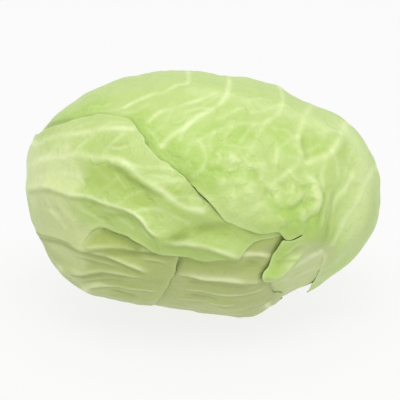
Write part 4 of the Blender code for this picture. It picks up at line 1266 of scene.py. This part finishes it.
top_leaf.tint(
    ("rumple", 0.9, 14.0, (20, 20), (34, 11), (48, 1), (62, -8)),
    ("rumple", 0.5, 12.0, (66, 4), (70, -20), (60, -26)),
    ("deep_green", 0.9, 12.0, (-106, 45), (-90, 54), (-76, 58)),
    ("deep_green", 0.9, 12.0, (-44, 48), (-32, 34), (-14, 18), (-2, 8)),
    ("deep_green", 0.9, 12.0, (48, -20), (64, -20), (84, -26)),
    ("deep_green", 0.8, 8.0, (-22, 30), (-6, 24), (6, 12)),
    ("deep_green", 0.8, 8.0, (4, 26), (10, 22)),
    ("shade", 0.25, 7.0, (-24, 26), (-8, 14), (4, 4)),
    ("deep_green", 0.55, 9.0, (14, 38), (30, 42)),
    ("deep_green", 0.55, 9.0, (54, 44), (57, 32)),
    ("deep_green", 0.55, 9.0, (74, 34), (80, 30)),
    ("deep_green", 0.55, 9.0, (103, 32), (100, 30)),
    ("deep_green", 0.55, 9.0, (-12, 46), (2, 46)),
    ("deep_green", 0.7, 5.0, (50, -36), (50, -46), (44, -54)),
    ("pale", 0.4, 3.0, (56, -48), (60, -44), (66, -38)),
    ("shade", 0.35, 1.8, (42, -57.5), (47, -59), (52, -58), (57, -54)),
    ("pale", 0.2, 12.0, (20, 22), (34, 14), (50, 4), (58, -10)),
    ("pale", 0.35, 7.0, (30, 12), (38, 7)),
    ("pale", 0.35, 7.0, (20, -10), (32, -14), (44, -16)),
    ("pale", 0.6, 16.0, (100, 44), (112, 12), (104, -22)),
    ("dull", 0.3, 9.0, (116, 16), (118, -4), (112, -26), (98, -40)),
    ("dull", 0.95, 6.0, (66, -37), (76, -38), (86, -39)),
    ("shade", 0.15, 7.0, (66, -36), (76, -36), (86, -34)),
    ("pale", 0.5, 9.0, (-6, 72), (30, 66), (60, 58), (80, 48)),
    ("shade", 0.25, 7.0, (86, -4), (84, -20), (82, -34)),
    ("shade", 0.25, 7.0, (117, -2), (113, -22)),
    ("dull", 0.8, 5.0, (87, -44), (86, -50), (80, -60), (73, -67)),
    ("shade", 1.0, 2.4, (-114, 44.5), (-107, 47.3), (-100, 49.8), (-93, 51)),
    ("shade", 0.4, 2.2, (-93, 49.4), (-84, 53.5), (-74, 55.5), (-66, 55)))
top_leaf.sunk = [(8.0, front((70, -44), (76, -42.5), (84, -42), (84, -50)))]
top_leaf.lifts = [(2.5, 8.0, front((42, -56), (56, -51), (66, -45))),
                  (4.2, 12.0, edge_on((71, -70), (74, -67)))]
top_leaf.cut(
    leaf_finish(
        "top_green", (0.47, 0.61, 0.195, 1), (0.39, 0.565, 0.115, 1), (0.63, 0.75, 0.32, 1),
        (0.73, 0.83, 0.41, 1), (0.28, 0.4, 0.07, 1)))

# Wrapping. The leaves go round the heart one after another, as they close over a growing
# head. Only the last two change places: the left leaf's upper margin lies on the top leaf.
leaves = [upper_left, under_leaf, right_leaf, lower_right, lower_left, left_leaf, top_leaf]
for order, leaf in enumerate(leaves):
    lower, upper = leaves[:order], leaves[order + 1:]
    if leaf is left_leaf:
        lower = lower + [top_leaf]
    if leaf is top_leaf:
        upper = [left_leaf]
    leaf.wrap(lower, upper)

# Floor, light and camera. A plain near-white studio floor under a soft bright sky, one large
# soft lamp above, and a long lens that looks down on the head from a little above.
FLOOR_SIDE = 60.0
FLOOR_WHITE = (0.11, 0.11, 0.11, 1.0)
FLOOR_GLOW = 0.81
SKY_STRENGTH = 0.86
LAMP_POWER = 9.0
LAMP_SIZE = 1.0
LAMP_PLACE = (0.05, -0.65, 1.4)
LENS = 145.5
PIXEL = 0.68
HEAD_PIXEL = (203.0, 194.0)
IMAGE_MIDDLE = 200.0

bpy.ops.mesh.primitive_plane_add(size=FLOOR_SIDE, location=(0.0, 0.0, 0.0))
floor = bpy.context.object
floor.name = "studio_floor"
white = Finish("floor_white", 0.9)
white.surface.inputs["Base Color"].default_value = FLOOR_WHITE
white.surface.inputs["Emission Color"].default_value = (1.0, 1.0, 1.0, 1.0)
white.surface.inputs["Emission Strength"].default_value = FLOOR_GLOW
floor.data.materials.append(white.material)
bpy.ops.object.select_all(action="DESELECT")

sky = bpy.data.worlds.new("studio_sky")
sky.use_nodes = True
sky.node_tree.nodes["Background"].inputs["Color"].default_value = (1.0, 1.0, 1.0, 1.0)
sky.node_tree.nodes["Background"].inputs["Strength"].default_value = SKY_STRENGTH
bpy.context.scene.world = sky
bpy.context.scene.view_settings.view_transform = "Standard"

bpy.ops.object.light_add(type="AREA", location=LAMP_PLACE)
lamp = bpy.context.object
lamp.name = "soft_lamp"
lamp.data.size = LAMP_SIZE
lamp.data.energy = LAMP_POWER
lamp.rotation_euler = (-Vector(LAMP_PLACE)).to_track_quat("-Z", "Y").to_euler()

view_shift = PIXEL * np.array((IMAGE_MIDDLE - HEAD_PIXEL[0], HEAD_PIXEL[1] - IMAGE_MIDDLE, 0.0))
target = HEAD_CENTRE + world(view_shift)
eye = target + VIEW_DISTANCE * world(np.array((0.0, 0.0, 1.0)))
bpy.ops.object.camera_add(location=(eye * MM).tolist(),
                          rotation=(math.pi / 2 - VIEW_TILT, 0.0, 0.0))
camera = bpy.context.object
camera.data.lens = LENS
bpy.context.scene.camera = camera
